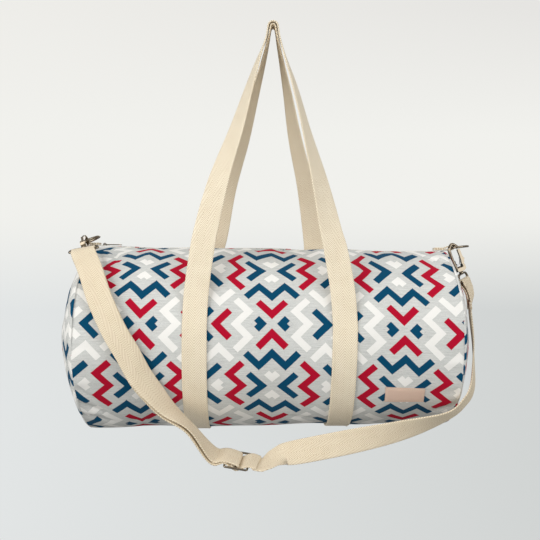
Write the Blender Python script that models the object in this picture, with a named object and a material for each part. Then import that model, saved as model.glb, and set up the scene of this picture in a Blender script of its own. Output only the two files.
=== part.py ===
"""Barrel-shaped gym bag with two webbing handles and a clip-on shoulder strap.

Metres, +Z up. The bag hangs by its handles: the origin is the point under the
handles where a hook would carry them. +X runs along the bag, -Y is its front.
"""
import math

import bmesh
import bpy
import numpy as np
from mathutils import Matrix, Vector

# Barrel
AXIS_Z = -0.407
BAG_X = -0.004
RADIUS_LEFT = 0.1185
RADIUS_RIGHT = 0.1119
END_LEFT = -0.2365
END_RIGHT = 0.2330
END_PULL = 0.009
BULGE_LEFT = 0.024
BULGE_RIGHT = 0.014
BULGE_POWER = 2.5
CLOTH = 0.003
SEAM_GAP = 0.0003

# Zip along the top
ZIP_HALF_OPENING = 0.012
TAPE_UNDERLAP = 0.006
TAPE_THICKNESS = 0.0010
COIL_WIDTH = 0.0030
COIL_HEIGHT = 0.0024
COIL_SPLIT = 0.0010
SLIDER_LENGTH = 0.0110
SLIDER_WIDTH = 0.0096
SLIDER_PLATE = 0.0012
SLIDER_REST_X = -0.2170
ARCH_INNER = 0.0014
ARCH_OUTER = 0.0024
ARCH_WIDTH = 0.0028
PULL_LENGTH = 0.0220
PULL_WIDTH = 0.0080
PULL_THICKNESS = 0.0011

# Webbing
WEB_WIDTH = 0.030
WEB_THICKNESS = 0.002
TAB_WIDTH = 0.016
TAB_THICKNESS = 0.0016
HANDLE_X = 0.0905
HANDLE_BASE_LEFT = -HANDLE_X - 0.0015
HANDLE_BASE_RIGHT = HANDLE_X - 0.0045
HANDLE_BACK_SHIFT = -0.018
HANDLE_BASE_GAP = 0.002
SEWN_LIFT = 0.0011
SEWN_TOP = 10.0
HOOK_RADIUS = 0.002
HOOK_X = 0.004

# Metal fittings
RING_WIRE = 0.0015
RING_HALF = 0.0165
RING_DEPTH = 0.0225
RING_CORNER = 0.005
BAR_LIFT = 0.0042
BAR_LEFT = Vector((END_LEFT - 0.0090, 0.0, AXIS_Z + RADIUS_LEFT + BAR_LIFT))
BAR_RIGHT = Vector((END_RIGHT + 0.0045, 0.0, AXIS_Z + RADIUS_RIGHT + BAR_LIFT))
RING_TILT_LEFT = math.radians(22.0)
RING_TILT_RIGHT = math.radians(6.0)
TAB_REACH = 0.0225
EYE_WIRE = 0.0015
EYE_HALF = WEB_WIDTH / 2 + 0.0032
EYE_DROP = 0.0130
POST_RADIUS = 0.0018
POST_CLEARANCE = 0.0001
CLAW_WIDTH = 0.0040
CLAW_DEPTH = 0.0054
CLAW_SEAT = 0.0326
GATE_PIVOT = (0.0053, 0.0064)
GATE_ROOT = 0.0017
GATE_DEPTH = 0.0032
PIN_RADIUS = 0.0008
PIN_CLEARANCE = 0.0001
GLIDE_WIRE = 0.00125
GLIDE_HALF_LENGTH = 0.014
GLIDE_HALF_WIDTH = WEB_WIDTH / 2 + 0.0024
GLIDE_X = -0.0387
GLIDE_ANGLE = math.radians(-54.5)
GLIDE_GAP = 0.0605
GLIDE_TANGENT = Vector((0.975, -0.12, -0.14)).normalized()
GLIDE_ACROSS = (0.16, 0.90, 0.38)
GLIDE_STRAIGHT = 0.016
RUN_GAP = 0.0003

# Label
LABEL_CENTRE_X = 0.1645
LABEL_ANGLE = math.radians(-35.4)
LABEL_WIDTH = 0.048
LABEL_HEIGHT = 0.0225
LABEL_THICKNESS = 0.0008
LABEL_SLANT = math.radians(-2.0)

CREAM = (0.78, 0.66, 0.46)
GREY_CLOTH = (0.62, 0.63, 0.64)
NICKEL = (0.72, 0.71, 0.68)
TAPE_CLOTH = (0.80, 0.78, 0.72)
LABEL_CLOTH = (0.60, 0.42, 0.34)


def clear_scene():
    for old in list(bpy.data.objects):
        bpy.data.objects.remove(old, do_unlink=True)


def material(name, colour, roughness, metallic=0.0):
    made = bpy.data.materials.new(name)
    made.use_nodes = True
    shader = made.node_tree.nodes["Principled BSDF"]
    shader.inputs["Base Color"].default_value = (*colour, 1.0)
    shader.inputs["Roughness"].default_value = roughness
    shader.inputs["Metallic"].default_value = metallic
    return made


def add_object(name, mesh_data, finish, smooth_angle=35.0):
    made = bpy.data.objects.new(name, mesh_data)
    bpy.context.scene.collection.objects.link(made)
    if finish is not None:
        mesh_data.materials.append(finish)
        mesh_data.shade_smooth()
        mesh_data.set_sharp_from_angle(angle=math.radians(smooth_angle))
    return made


def mesh_from(name, build):
    """Runs build(bm), turns every face outwards and returns the mesh."""
    bm = bmesh.new()
    build(bm)
    bmesh.ops.recalc_face_normals(bm, faces=bm.faces)
    data = bpy.data.meshes.new(name)
    bm.to_mesh(data)
    bm.free()
    return data


def loft(bm, rings, closed=False):
    """Joins rings of points with quads; open lofts get an end cap each."""
    loops = [[bm.verts.new(point) for point in ring] for ring in rings]
    pairs = list(zip(loops, loops[1:]))
    if closed:
        pairs.append((loops[-1], loops[0]))
    else:
        bm.faces.new(loops[0])
        bm.faces.new(loops[-1])
    count = len(loops[0])
    for low, high in pairs:
        for i in range(count):
            j = (i + 1) % count
            bm.faces.new((low[i], low[j], high[j], high[i]))


def tube_rings(points, radius_a, radius_b, side_axis, sides=10, closed=False):
    """Elliptical sections along a path; radius_b lies along side_axis."""
    rings = []
    count = len(points)
    for i, point in enumerate(points):
        before = points[i - 1] if i or closed else point
        after = points[(i + 1) % count] if i < count - 1 or closed else point
        tangent = (after - before).normalized()
        across = tangent.cross(side_axis).normalized()
        rings.append([
            point
            + across * (radius_a * math.cos(2 * math.pi * k / sides))
            + side_axis * (radius_b * math.sin(2 * math.pi * k / sides))
            for k in range(sides)
        ])
    return rings


def prism(bm, outline, depth_axis, low, high):
    """Extrudes a closed outline of points from low to high along an axis."""
    rings = [[point + depth_axis * reach for point in outline] for reach in (low, high)]
    loft(bm, rings)


def arc(centre, radius, start, stop, steps):
    """Points on an arc in a plane, as (x, y) pairs, angles in degrees."""
    return [
        (
            centre[0] + radius * math.cos(math.radians(start + (stop - start) * i / steps)),
            centre[1] + radius * math.sin(math.radians(start + (stop - start) * i / steps)),
        )
        for i in range(steps + 1)
    ]


def smooth_path(rows, step):
    """Catmull-Rom curve through rows of numbers, sampled about every step metres.

    The first columns up to three are the place, and the rest ride along.
    """
    rows = np.array(rows, dtype=float)
    places = rows[:, :3] if rows.shape[1] > 2 else rows
    padded = np.vstack([2 * rows[0] - rows[1], rows, 2 * rows[-1] - rows[-2]])
    samples = []
    for i in range(len(rows) - 1):
        length = np.linalg.norm(places[i + 1] - places[i])
        count = max(1, round(length / step))
        p0, p1, p2, p3 = padded[i:i + 4]
        for t in np.arange(count) / count:
            samples.append(0.5 * (
                2 * p1 + (p2 - p0) * t + (2 * p0 - 5 * p1 + 4 * p2 - p3) * t ** 2
                + (3 * p1 - p0 - 3 * p2 + p3) * t ** 3
            ))
    samples.append(rows[-1])
    return np.array(samples)


def cut(target, cutter_name, cutter_mesh, operation="DIFFERENCE"):
    """Cuts or joins a helper mesh into the target with a Boolean."""
    helper = add_object(cutter_name, cutter_mesh, None)
    helper.hide_render = True
    helper.display_type = "WIRE"
    change = target.modifiers.new(cutter_name, "BOOLEAN")
    change.operation = operation
    change.object = helper
    change.solver = "EXACT"


def radius_at(x):
    share = (x - END_LEFT) / (END_RIGHT - END_LEFT)
    return RADIUS_LEFT + (RADIUS_RIGHT - RADIUS_LEFT) * share


def barrel_point(x, angle, lift=0.0):
    """A point lift metres outside the barrel; angle 0 is the front, 90 degrees the top."""
    reach = radius_at(x) + lift
    return Vector((BAG_X + x, -reach * math.cos(angle), AXIS_Z + reach * math.sin(angle)))


def end_reach(end, angle):
    """The seam at each end pulls in towards the top and the base."""
    return end - math.copysign(END_PULL * math.sin(angle) ** 2, end)


def build_main_panel(finish):
    def build(bm):
        opening = ZIP_HALF_OPENING / radius_at(0.0)
        start = math.pi / 2 + opening
        stop = math.pi / 2 + 2 * math.pi - opening
        steps = 60
        angles = [start + (stop - start) * i / steps for i in range(steps + 1)]
        rings = []
        for share in [i / 6 for i in range(7)]:
            outer = []
            inner = []
            for angle in angles:
                left = end_reach(END_LEFT, angle)
                x = left + (end_reach(END_RIGHT, angle) - left) * share
                outer.append(barrel_point(x, angle))
                inner.append(barrel_point(x, angle, -CLOTH))
            rings.append(outer + inner[::-1])
        loft(bm, rings)

    add_object("main_panel", mesh_from("main_panel", build), finish)


def build_end_panel(name, end, bulge, radius, finish):
    sign = math.copysign(1.0, end)

    def surface_point(share, angle, out):
        reach = radius * share
        x = end - sign * END_PULL * math.sin(angle) ** 2 * share ** 2
        x += sign * (SEAM_GAP + out + bulge * (1.0 - share ** BULGE_POWER))
        return Vector((BAG_X + x, -reach * math.cos(angle), AXIS_Z + reach * math.sin(angle)))

    def build(bm):
        steps = 48
        shares = [1.0, 0.97, 0.9, 0.78, 0.62, 0.42, 0.2]
        layers = [(0.0, share) for share in shares[::-1]] + [(CLOTH, share) for share in shares]
        rings = []
        for out, share in layers:
            rings.append([surface_point(share, 2 * math.pi * k / steps, out) for k in range(steps)])
        loft(bm, rings)

    data = mesh_from(name, build)
    add_object(name, data, finish)


def build_zip_tape(name, side, finish):
    """Flat tape lapped under the panel's edge, with a raised coil along the split."""
    def build(bm):
        under = CLOTH + SEAM_GAP
        split = COIL_SPLIT / 2
        far = ZIP_HALF_OPENING + TAPE_UNDERLAP
        top = -under
        bottom = top - TAPE_THICKNESS
        profile = [
            (split, bottom), (split + COIL_WIDTH, bottom), (far / 2, bottom), (far, bottom),
            (far, top), (far / 2, top), (split + COIL_WIDTH, top),
            (split + COIL_WIDTH, top + COIL_HEIGHT - 0.0006),
            (split + COIL_WIDTH - 0.0006, top + COIL_HEIGHT),
            (split + 0.0004, top + COIL_HEIGHT), (split, top + COIL_HEIGHT - 0.0006),
        ]
        rings = []
        crown = math.pi / 2
        left = end_reach(END_LEFT, crown)
        right = end_reach(END_RIGHT, crown)
        for x in (left, (left + right) / 2, right):
            reach = radius_at(x)
            ring = []
            for out, lift in profile:
                drop = reach - math.sqrt(reach ** 2 - out ** 2)
                ring.append(Vector((BAG_X + x, side * out, AXIS_Z + reach + lift - drop)))
            rings.append(ring)
        loft(bm, rings)

    add_object(name, mesh_from(name, build), finish)


def zip_frame():
    """Origin on the coils' top at the slider's rest place, X along the zip."""
    slope = (RADIUS_RIGHT - RADIUS_LEFT) / (END_RIGHT - END_LEFT)
    along = Vector((1.0, 0.0, slope)).normalized()
    up = along.cross(Vector((0.0, 1.0, 0.0)))
    top = AXIS_Z + radius_at(SLIDER_REST_X) - CLOTH - SEAM_GAP + COIL_HEIGHT
    origin = Vector((BAG_X + SLIDER_REST_X, 0.0, top))
    frame = Matrix((along, Vector((0.0, 1.0, 0.0)), up)).transposed().to_4x4()
    frame.translation = origin
    return frame


def arch_height():
    return RUN_GAP + SLIDER_PLATE + ARCH_INNER + 0.0002


def build_zip_slider(finish):
    """Two plates joined by a thin post in the split, and an arch for the pull."""
    frame = zip_frame()

    def build(bm):
        half = SLIDER_WIDTH / 2
        post = COIL_SPLIT / 2 - RUN_GAP
        high = RUN_GAP + SLIDER_PLATE
        low = -COIL_HEIGHT - TAPE_THICKNESS - RUN_GAP - SLIDER_PLATE
        side = COIL_SPLIT / 2 + COIL_WIDTH + RUN_GAP
        lip = -COIL_HEIGHT + RUN_GAP + 0.0002
        right_half = [
            (post, RUN_GAP), (side, RUN_GAP), (side, lip), (half, lip), (half, high),
        ]
        under = [(half, low), (half, low + SLIDER_PLATE), (post, low + SLIDER_PLATE)]
        outline = under + right_half
        outline += [(-y, z) for y, z in outline[::-1]]
        points = [Vector((0.0, y, z)) for y, z in outline]
        prism(bm, points, Vector((1.0, 0.0, 0.0)), -SLIDER_LENGTH / 2, SLIDER_LENGTH / 2)

    def build_arch(bm):
        z = arch_height()
        foot = RUN_GAP + SLIDER_PLATE - 0.0004
        inner = [(-ARCH_INNER, foot)] + arc((0.0, z), ARCH_INNER, 180, 0, 8) + [(ARCH_INNER, foot)]
        outer = [(ARCH_OUTER, foot)] + arc((0.0, z), ARCH_OUTER, 0, 180, 8) + [(-ARCH_OUTER, foot)]
        points = [Vector((x, 0.0, h)) for x, h in inner + outer]
        prism(bm, points, Vector((0.0, 1.0, 0.0)), -ARCH_WIDTH / 2, ARCH_WIDTH / 2)

    slider = add_object("zip_slider", mesh_from("zip_slider", build), finish)
    slider.matrix_world = frame
    arch = mesh_from("slider_arch", build_arch)
    arch.transform(frame)
    cut(slider, "slider_arch", arch, "UNION")


def build_zip_pull(finish):
    """Tab with a window round the arch; its end bar turns in the arch."""
    def build(bm):
        half = PULL_WIDTH / 2
        bar = PULL_THICKNESS / 2
        points = [Vector((x, y, 0.0)) for x, y in (
            (-bar, -half), (PULL_LENGTH - 0.003, -half), (PULL_LENGTH, -half + 0.0022),
            (PULL_LENGTH, half - 0.0022), (PULL_LENGTH - 0.003, half), (-bar, half),
        )]
        prism(bm, points, Vector((0.0, 0.0, 1.0)), -bar, bar)

    def build_window(bm):
        bar = PULL_THICKNESS / 2
        side = ARCH_WIDTH / 2 + RUN_GAP
        far = ARCH_OUTER + RUN_GAP + bar
        points = [Vector((x, y, 0.0)) for x, y in ((bar, -side), (far, -side), (far, side), (bar, side))]
        prism(bm, points, Vector((0.0, 0.0, 1.0)), -0.002, 0.002)

    frame = zip_frame() @ Matrix.Translation((0.0, 0.0, arch_height()))
    pull = add_object("zip_pull", mesh_from("zip_pull", build), finish)
    pull.matrix_world = frame
    window = mesh_from("pull_window", build_window)
    window.transform(frame)
    cut(pull, "pull_window", window)


def strip_rings(places, across, thickness, width):
    """Flat webbing sections: places along the middle, across = width directions."""
    rings = []
    count = len(places)
    for i, place in enumerate(places):
        tangent = (places[min(i + 1, count - 1)] - places[max(i - 1, 0)]).normalized()
        side = across[i] - tangent * across[i].dot(tangent)
        side.normalize()
        out = tangent.cross(side) * (thickness / 2)
        edge = side * (width / 2)
        rings.append([place + edge + out, place - edge + out, place - edge - out, place + edge - out])
    return rings


def build_handle(name, front, finish):
    """Webbing sewn up the barrel on both sides of the middle and carried over the hook.

    The free part's rows are x, distance before or behind the hook, z and the turn
    of the webbing about the vertical, in degrees: 0 at the left, 90 over the hook.
    """
    side = -1.0 if front else 1.0
    lift = SEWN_LIFT + WEB_THICKNESS / 2
    bend = HOOK_RADIUS + WEB_THICKNESS / 2 + (WEB_THICKNESS + 5 * RUN_GAP if front else 0.0)
    if front:
        left = [
            (-0.0887, 0.1075, -0.345, 0), (-0.0826, 0.0985, -0.2960, 2), (-0.0780, 0.0915, -0.2690, 6),
            (-0.0631, 0.0765, -0.2063, 27), (-0.0424, 0.0530, -0.1409, 50), (-0.0262, 0.0325, -0.0829, 68),
            (-0.0150, 0.0170, -0.0442, 79), (-0.0056, 0.0030, -0.0165, 88),
        ]
        right = [
            (0.0134, 0.0030, -0.0165, 92), (0.0206, 0.0170, -0.0442, 97), (0.0318, 0.0325, -0.0829, 104),
            (0.0457, 0.0530, -0.1409, 112), (0.0610, 0.0765, -0.2063, 134), (0.0739, 0.0915, -0.2690, 158),
            (0.0800, 0.0985, -0.2960, 170), (0.0877, 0.1075, -0.345, 180),
        ]
    else:
        left = [
            (-0.0845, 0.1075, -0.345, 0), (-0.0805, 0.0985, -0.2960, 2), (-0.0740, 0.0915, -0.2690, 8),
            (-0.0600, 0.0765, -0.2063, 30), (-0.0375, 0.0530, -0.1409, 54), (-0.0205, 0.0325, -0.0829, 72),
            (-0.0092, 0.0170, -0.0442, 83), (-0.0020, 0.0030, -0.0165, 89),
        ]
        right = [
            (0.0098, 0.0030, -0.0165, 91), (0.0158, 0.0170, -0.0442, 97), (0.0238, 0.0325, -0.0829, 108),
            (0.0345, 0.0530, -0.1409, 124), (0.0500, 0.0765, -0.2063, 140), (0.0605, 0.0975, -0.2690, 158),
            (0.0635, 0.0985, -0.2960, 168), (0.0680, 0.1075, -0.345, 178),
        ]
    crown = [
        (x, 0.0, z, 90)
        for x, z in arc((HOOK_X, -HOOK_RADIUS), bend, 165, 15, 10)
    ]

    def sewn(x_top, x_base, turn, angles):
        rows = []
        for degrees in angles:
            share = (degrees + 90.0) / (SEWN_TOP + 90.0)
            x = x_base + (x_top - x_base) * share
            point = barrel_point(x, math.radians(degrees), lift)
            rows.append((x, -point.y, point.z, turn))
        return rows

    base_angle = -90.0 + math.degrees(HANDLE_BASE_GAP / RADIUS_LEFT)
    angles = [base_angle + (SEWN_TOP - base_angle) * i / 8 for i in range(9)]
    shift = 0.0 if front else HANDLE_BACK_SHIFT
    left_top = -HANDLE_X - (0.0 if front else shift * 0.25)
    right_top = HANDLE_X + shift
    rows = sewn(left_top, HANDLE_BASE_LEFT, 0.0, angles) + left + crown + right
    rows += sewn(right_top, HANDLE_BASE_RIGHT, 180.0, angles[::-1])
    samples = smooth_path(rows, 0.008)
    places = []
    across = []
    for x, reach, z, turn in samples:
        turn = math.radians(turn)
        places.append(Vector((BAG_X + x, side * reach, z)))
        across.append(Vector((math.cos(turn), side * math.sin(turn), 0.0)))

    def build(bm):
        loft(bm, strip_rings(places, across, WEB_THICKNESS, WEB_WIDTH))

    add_object(name, mesh_from(name, build), finish)


def ring_frame(bar, sign, tilt):
    """Ring's own frame: X from the bar across the ring, Y along the bar."""
    across = Vector((sign * math.cos(tilt), 0.0, math.sin(tilt)))
    along = Vector((0.0, 1.0, 0.0))
    frame = Matrix((across, along, across.cross(along))).transposed().to_4x4()
    frame.translation = Vector((BAG_X, 0.0, 0.0)) + bar
    return frame


def build_d_ring(name, frame, finish):
    """Round wire bent to a D: straight bar, small corners and a round bow."""
    def build(bm):
        bow = RING_HALF
        straight = RING_DEPTH - bow
        corner = RING_CORNER
        outline = arc((corner, -RING_HALF + corner), corner, 180, 270, 5)
        outline += arc((straight, 0.0), bow, -90, 90, 12)
        outline += arc((corner, RING_HALF - corner), corner, 90, 180, 5)
        points = [Vector((x, y, 0.0)) for x, y in outline]
        loft(bm, tube_rings(points, RING_WIRE, RING_WIRE, Vector((0, 0, 1)), 8, True), True)

    ring = add_object(name, mesh_from(name, build), finish, 50.0)
    ring.matrix_world = frame


def build_ring_tab(name, bar, sign, finish):
    """Webbing folded round the ring's bar, its two layers sewn flat on the crown."""
    turn = RING_WIRE + RUN_GAP + TAB_THICKNESS / 2
    low = -turn
    high = low + TAB_THICKNESS + RUN_GAP
    rows = [(-TAB_REACH, low), (-0.012, low), (-0.003, low)]
    rows += arc((0.0, 0.0), turn, -90, 120, 8)
    rows += [(-0.006, (turn + high) / 2), (-0.010, high), (-TAB_REACH, high)]
    places = [
        Vector((BAG_X + bar.x + sign * x, 0.0, bar.z + z))
        for x, z in smooth_path(rows, 0.003)
    ]
    across = [Vector((0.0, 1.0, 0.0))] * len(places)

    def build(bm):
        loft(bm, strip_rings(places, across, TAB_THICKNESS, TAB_WIDTH))

    add_object(name, mesh_from(name, build), finish)


def hook_frames():
    """For each side: claw frame (X across, Y through, Z along) and the eye's frame."""
    left_ring = ring_frame(BAR_LEFT, 1.0, RING_TILT_LEFT)
    right_ring = ring_frame(BAR_RIGHT, 1.0, RING_TILT_RIGHT)
    left_seat = left_ring @ Vector((0.0075, -RING_HALF, 0.0))
    bend = math.radians(20.0)
    right_seat = right_ring @ Vector((
        RING_CORNER * (1 - math.cos(bend)),
        -RING_HALF + RING_CORNER - RING_CORNER * math.sin(bend),
        0.0,
    ))
    left_along = Vector((-0.104, 0.945, 0.30))
    right_along = Vector((-0.33, 0.0, 0.944))
    left_through = Vector((0.927, 0.0, 0.375))
    right_through = Vector((-math.sin(bend), math.cos(bend), 0.0))
    left_bar = Vector((0.98, 0.0, 0.17))
    right_bar = Vector((0.55, 0.80, -0.23))
    return {
        "left": make_hook_frames(left_seat, left_along, left_through, left_bar),
        "right": make_hook_frames(right_seat, right_along, right_through, right_bar),
    }


def make_hook_frames(seat, along, through, bar):
    along = along.normalized()
    through = (through - along * through.dot(along)).normalized()
    across = through.cross(along)
    claw = Matrix((across, through, along)).transposed().to_4x4()
    claw.translation = seat - along * CLAW_SEAT
    bar = (bar - along * bar.dot(along)).normalized()
    eye = Matrix((bar, along.cross(bar), along)).transposed().to_4x4()
    eye.translation = claw.translation
    return claw, eye


def build_hook_body(name, frame, finish):
    """Cast base with the swivel bore and gate cheeks, and the claw curving over."""
    through = Vector((0.0, 1.0, 0.0))

    def build_base(bm):
        outline = [
            (-0.0055, 0.0010), (-0.0042, 0.0), (0.0042, 0.0), (0.0072, 0.0022), (0.0074, 0.0072),
            (0.0062, 0.0086), (0.0040, 0.0086), (0.0038, 0.0048), (-0.0055, 0.0048),
        ]
        points = [Vector((x, 0.0, z)) for x, z in outline]
        prism(bm, points, through, -0.0034, 0.0034)

    def build_claw(bm):
        rows = [
            (-0.0036, 0.0, 0.0020), (-0.0052, 0.0, 0.0070), (-0.0064, 0.0, 0.0150),
            (-0.0066, 0.0, 0.0260), (-0.0054, 0.0, 0.0325), (0.0, 0.0, 0.0370), (0.0052, 0.0, 0.0330),
            (0.0064, 0.0, 0.0296),
        ]
        points = [Vector(row) for row in smooth_path(rows, 0.0028)]
        loft(bm, tube_rings(points, CLAW_WIDTH / 2, CLAW_DEPTH / 2, through, 10))

    def build_slot(bm):
        outline = [(0.0031, 0.0046), (0.0100, 0.0036), (0.0100, 0.0100), (0.0031, 0.0100)]
        points = [Vector((x, 0.0, z)) for x, z in outline]
        reach = GATE_DEPTH / 2 + RUN_GAP
        prism(bm, points, through, -reach, reach)

    def build_bore(bm):
        reach = POST_RADIUS + POST_CLEARANCE
        points = [Vector((x, y, -0.001)) for x, y in arc((0, 0), reach, 0, 337.5, 15)]
        prism(bm, points, Vector((0.0, 0.0, 1.0)), 0.0, 0.0075)

    def build_pin_hole(bm):
        build_pin_shape(bm, PIN_RADIUS + PIN_CLEARANCE, 0.005)

    body = add_object(name, mesh_from(name, build_base), finish, 50.0)
    body.matrix_world = frame
    side = name.rsplit("_", 1)[-1]
    steps = (
        ("claw", build_claw, "UNION"), ("gate_slot", build_slot, "DIFFERENCE"),
        ("post_bore", build_bore, "DIFFERENCE"), ("pin_hole", build_pin_hole, "DIFFERENCE"),
    )
    for step, build, operation in steps:
        data = mesh_from(f"{step}_{side}", build)
        data.transform(frame)
        cut(body, f"{step}_{side}", data, operation)


def build_pin_shape(bm, radius, half_length):
    points = [Vector((x, 0.0, z)) for x, z in arc(GATE_PIVOT, radius, 0, 330, 11)]
    prism(bm, points, Vector((0.0, 1.0, 0.0)), -half_length, half_length)


def build_hook_gate(name, frame, finish):
    """Gate lever from its pin up to the claw's tip, with a thumb tab outside."""
    through = Vector((0.0, 1.0, 0.0))
    x0, z0 = GATE_PIVOT

    def build(bm):
        outer = [
            (x0 + 0.0017, z0 + 0.0006), (0.0088, 0.0118), (0.0106, 0.0150), (0.0092, 0.0168),
            (0.0086, 0.0200), (0.0083, 0.0285),
        ]
        inner = [
            (0.0048, 0.0285), (0.0051, 0.0200), (0.0049, 0.0130), (x0 - 0.0016, z0 + 0.0010),
        ]
        root = arc(GATE_PIVOT, GATE_ROOT, 160, 380, 8)
        points = [Vector((x, 0.0, z)) for x, z in outer + inner + root]
        prism(bm, points, through, -GATE_DEPTH / 2, GATE_DEPTH / 2)

    def build_hole(bm):
        build_pin_shape(bm, PIN_RADIUS + PIN_CLEARANCE, 0.003)

    gate = add_object(name, mesh_from(name, build), finish, 40.0)
    pivot = Matrix.Translation((x0, 0.0, z0))
    gate.data.transform(pivot.inverted())
    gate.matrix_world = frame @ pivot
    hole = mesh_from(f"gate_hole_{name}", build_hole)
    hole.transform(frame)
    cut(gate, f"gate_hole_{name}", hole)


def build_gate_pin(name, frame, finish):
    def build(bm):
        build_pin_shape(bm, PIN_RADIUS, 0.0034)

    pin = add_object(name, mesh_from(name, build), finish, 50.0)
    pin.matrix_world = frame


def build_gate_spring(name, frame, finish):
    """Leaf spring bent between the claw's back and the gate."""
    rows = [
        (-0.0034, 0.0, 0.0150), (-0.0034, 0.0, 0.0112), (-0.0014, 0.0, 0.0088), (0.0014, 0.0, 0.0098),
        (0.0036, 0.0, 0.0140), (0.0043, 0.0, 0.0180),
    ]
    places = [Vector(row) for row in smooth_path(rows, 0.0016)]
    across = [Vector((0.0, 1.0, 0.0))] * len(places)

    def build(bm):
        loft(bm, strip_rings(places, across, 0.0004, 0.0022))

    spring = add_object(name, mesh_from(name, build), finish)
    spring.matrix_world = frame


def build_hook_eye(name, frame, finish):
    """D-shaped wire eye for the webbing, with the swivel post and its head."""
    def build(bm):
        half = EYE_HALF
        outline = arc((-half + 0.002, -EYE_DROP + 0.002), 0.002, 180, 270, 3)
        outline += arc((half - 0.002, -EYE_DROP + 0.002), 0.002, 270, 360, 3)
        outline += arc((half - 0.0075, -0.0107), 0.0075, 10, 75, 4)
        outline += arc((-half + 0.0075, -0.0107), 0.0075, 105, 170, 4)
        points = [Vector((x, 0.0, z)) for x, z in outline]
        loft(bm, tube_rings(points, EYE_WIRE, EYE_WIRE, Vector((0, 1, 0)), 8, True), True)

    def build_post(bm):
        profile = [
            (-0.0040, POST_RADIUS), (-0.0004, POST_RADIUS + 0.0009), (-RUN_GAP, POST_RADIUS),
            (0.0048 + RUN_GAP, POST_RADIUS), (0.0048 + RUN_GAP, 0.0023), (0.0062, 0.0022),
            (0.0068, 0.0012),
        ]
        rings = [
            [Vector((x, y, z)) for x, y in arc((0, 0), reach, 0, 337.5, 15)]
            for z, reach in profile
        ]
        loft(bm, rings)

    eye = add_object(name, mesh_from(name, build), finish, 50.0)
    eye.matrix_world = frame
    post = mesh_from(f"post_{name}", build_post)
    post.transform(frame)
    cut(eye, f"post_{name}", post, "UNION")


def glide_point():
    return barrel_point(GLIDE_X, GLIDE_ANGLE, GLIDE_GAP)


def strap_route(frames):
    """Middle line of the shoulder strap from the left eye's bar to the right one's.

    Each free row is x from the named end (or from the middle), the angle round the
    barrel in degrees, the gap outside the barrel, and the width direction.
    """
    down_left = [
        (END_LEFT + 0.0180, 42.0, 0.0110, (0.94, 0.0, 0.30)),
        (END_LEFT + 0.0330, 24.0, 0.0085, (0.92, 0.0, 0.36)),
        (END_LEFT + 0.0510, 7.0, 0.0080, (0.90, 0.0, 0.44)),
        (END_LEFT + 0.0678, -6.0, 0.0085, (0.88, 0.1, 0.45)),
        (END_LEFT + 0.0815, -17.9, 0.0110, (0.75, 0.35, 0.5)),
        (END_LEFT + 0.0982, -27.9, 0.0160, (0.6, 0.65, 0.45)),
        (END_LEFT + 0.1135, -35.3, 0.0225, (0.4, 0.85, 0.35)),
        (END_LEFT + 0.1400, -43.5, 0.0340, (0.12, 0.98, 0.05)),
    ]
    up_right = [
        (0.0100, -53.8, 0.0560, (0.0, 0.75, 0.66)),
        (0.0364, -53.1, 0.0518, (-0.05, 0.35, 0.94)),
        (0.0970, -50.8, 0.0430, (-0.1, 0.0, 0.98)),
        (0.1577, -48.2, 0.0330, (-0.2, -0.45, 0.87)),
        (END_RIGHT - 0.0208, -44.0, 0.0215, (-0.25, -0.86, 0.44)),
        (END_RIGHT + 0.0030, -40.0, 0.0075, (-0.38, -0.90, 0.22)),
        (END_RIGHT + 0.0175, -35.0, -0.0165, (-0.33, -0.92, 0.18)),
        (END_RIGHT + 0.0262, -14.4, -0.0700, (-0.16, -0.98, 0.0)),
        (END_RIGHT + 0.0232, 52.0, -0.0630, (-0.12, -0.99, 0.0)),
    ]

    def place(row):
        x, degrees, gap, side = row
        return (*barrel_point(x, math.radians(degrees), gap), *side)

    def eye_rows(frame, sign):
        side = frame.to_3x3() @ Vector((sign, 0.0, 0.0))
        return [(*(frame @ Vector((0.0, 0.0, -EYE_DROP - reach))), *side) for reach in (0.0, 0.005, 0.010)]

    glide = [
        (*(glide_point() + GLIDE_TANGENT * reach), *GLIDE_ACROSS)
        for reach in np.arange(-2, 3) * GLIDE_STRAIGHT
    ]
    rows = eye_rows(frames["left"][1], 1.0) + [place(row) for row in down_left] + glide
    rows += [place(row) for row in up_right] + eye_rows(frames["right"][1], -1.0)[::-1]
    samples = smooth_path(rows, 0.002)
    steps = np.linalg.norm(np.diff(samples[:, :3], axis=0), axis=1)
    return samples, np.concatenate([[0.0], np.cumsum(steps)])


def route_frame(route, s):
    """Place, tangent, width direction and outward direction at s along the route."""
    samples, lengths = route
    total = lengths[-1]
    inside = min(max(s, 0.0), total)

    def read(at):
        return np.array([np.interp(at, lengths, samples[:, k]) for k in range(6)])

    here = read(inside)
    step = 0.004
    ahead = read(min(inside + step, total))
    behind = read(max(inside - step, 0.0))
    tangent = Vector(ahead[:3] - behind[:3]).normalized()
    side = Vector(here[3:])
    side = (side - tangent * side.dot(tangent)).normalized()
    place = Vector(here[:3]) + tangent * (s - inside)
    return place, tangent, side, tangent.cross(side)


def glide_place(route):
    """Distance along the route at which the adjuster sits."""
    samples, lengths = route
    gaps = np.linalg.norm(samples[:, :3] - np.array(glide_point()), axis=1)
    return float(lengths[int(np.argmin(gaps))])


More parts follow.
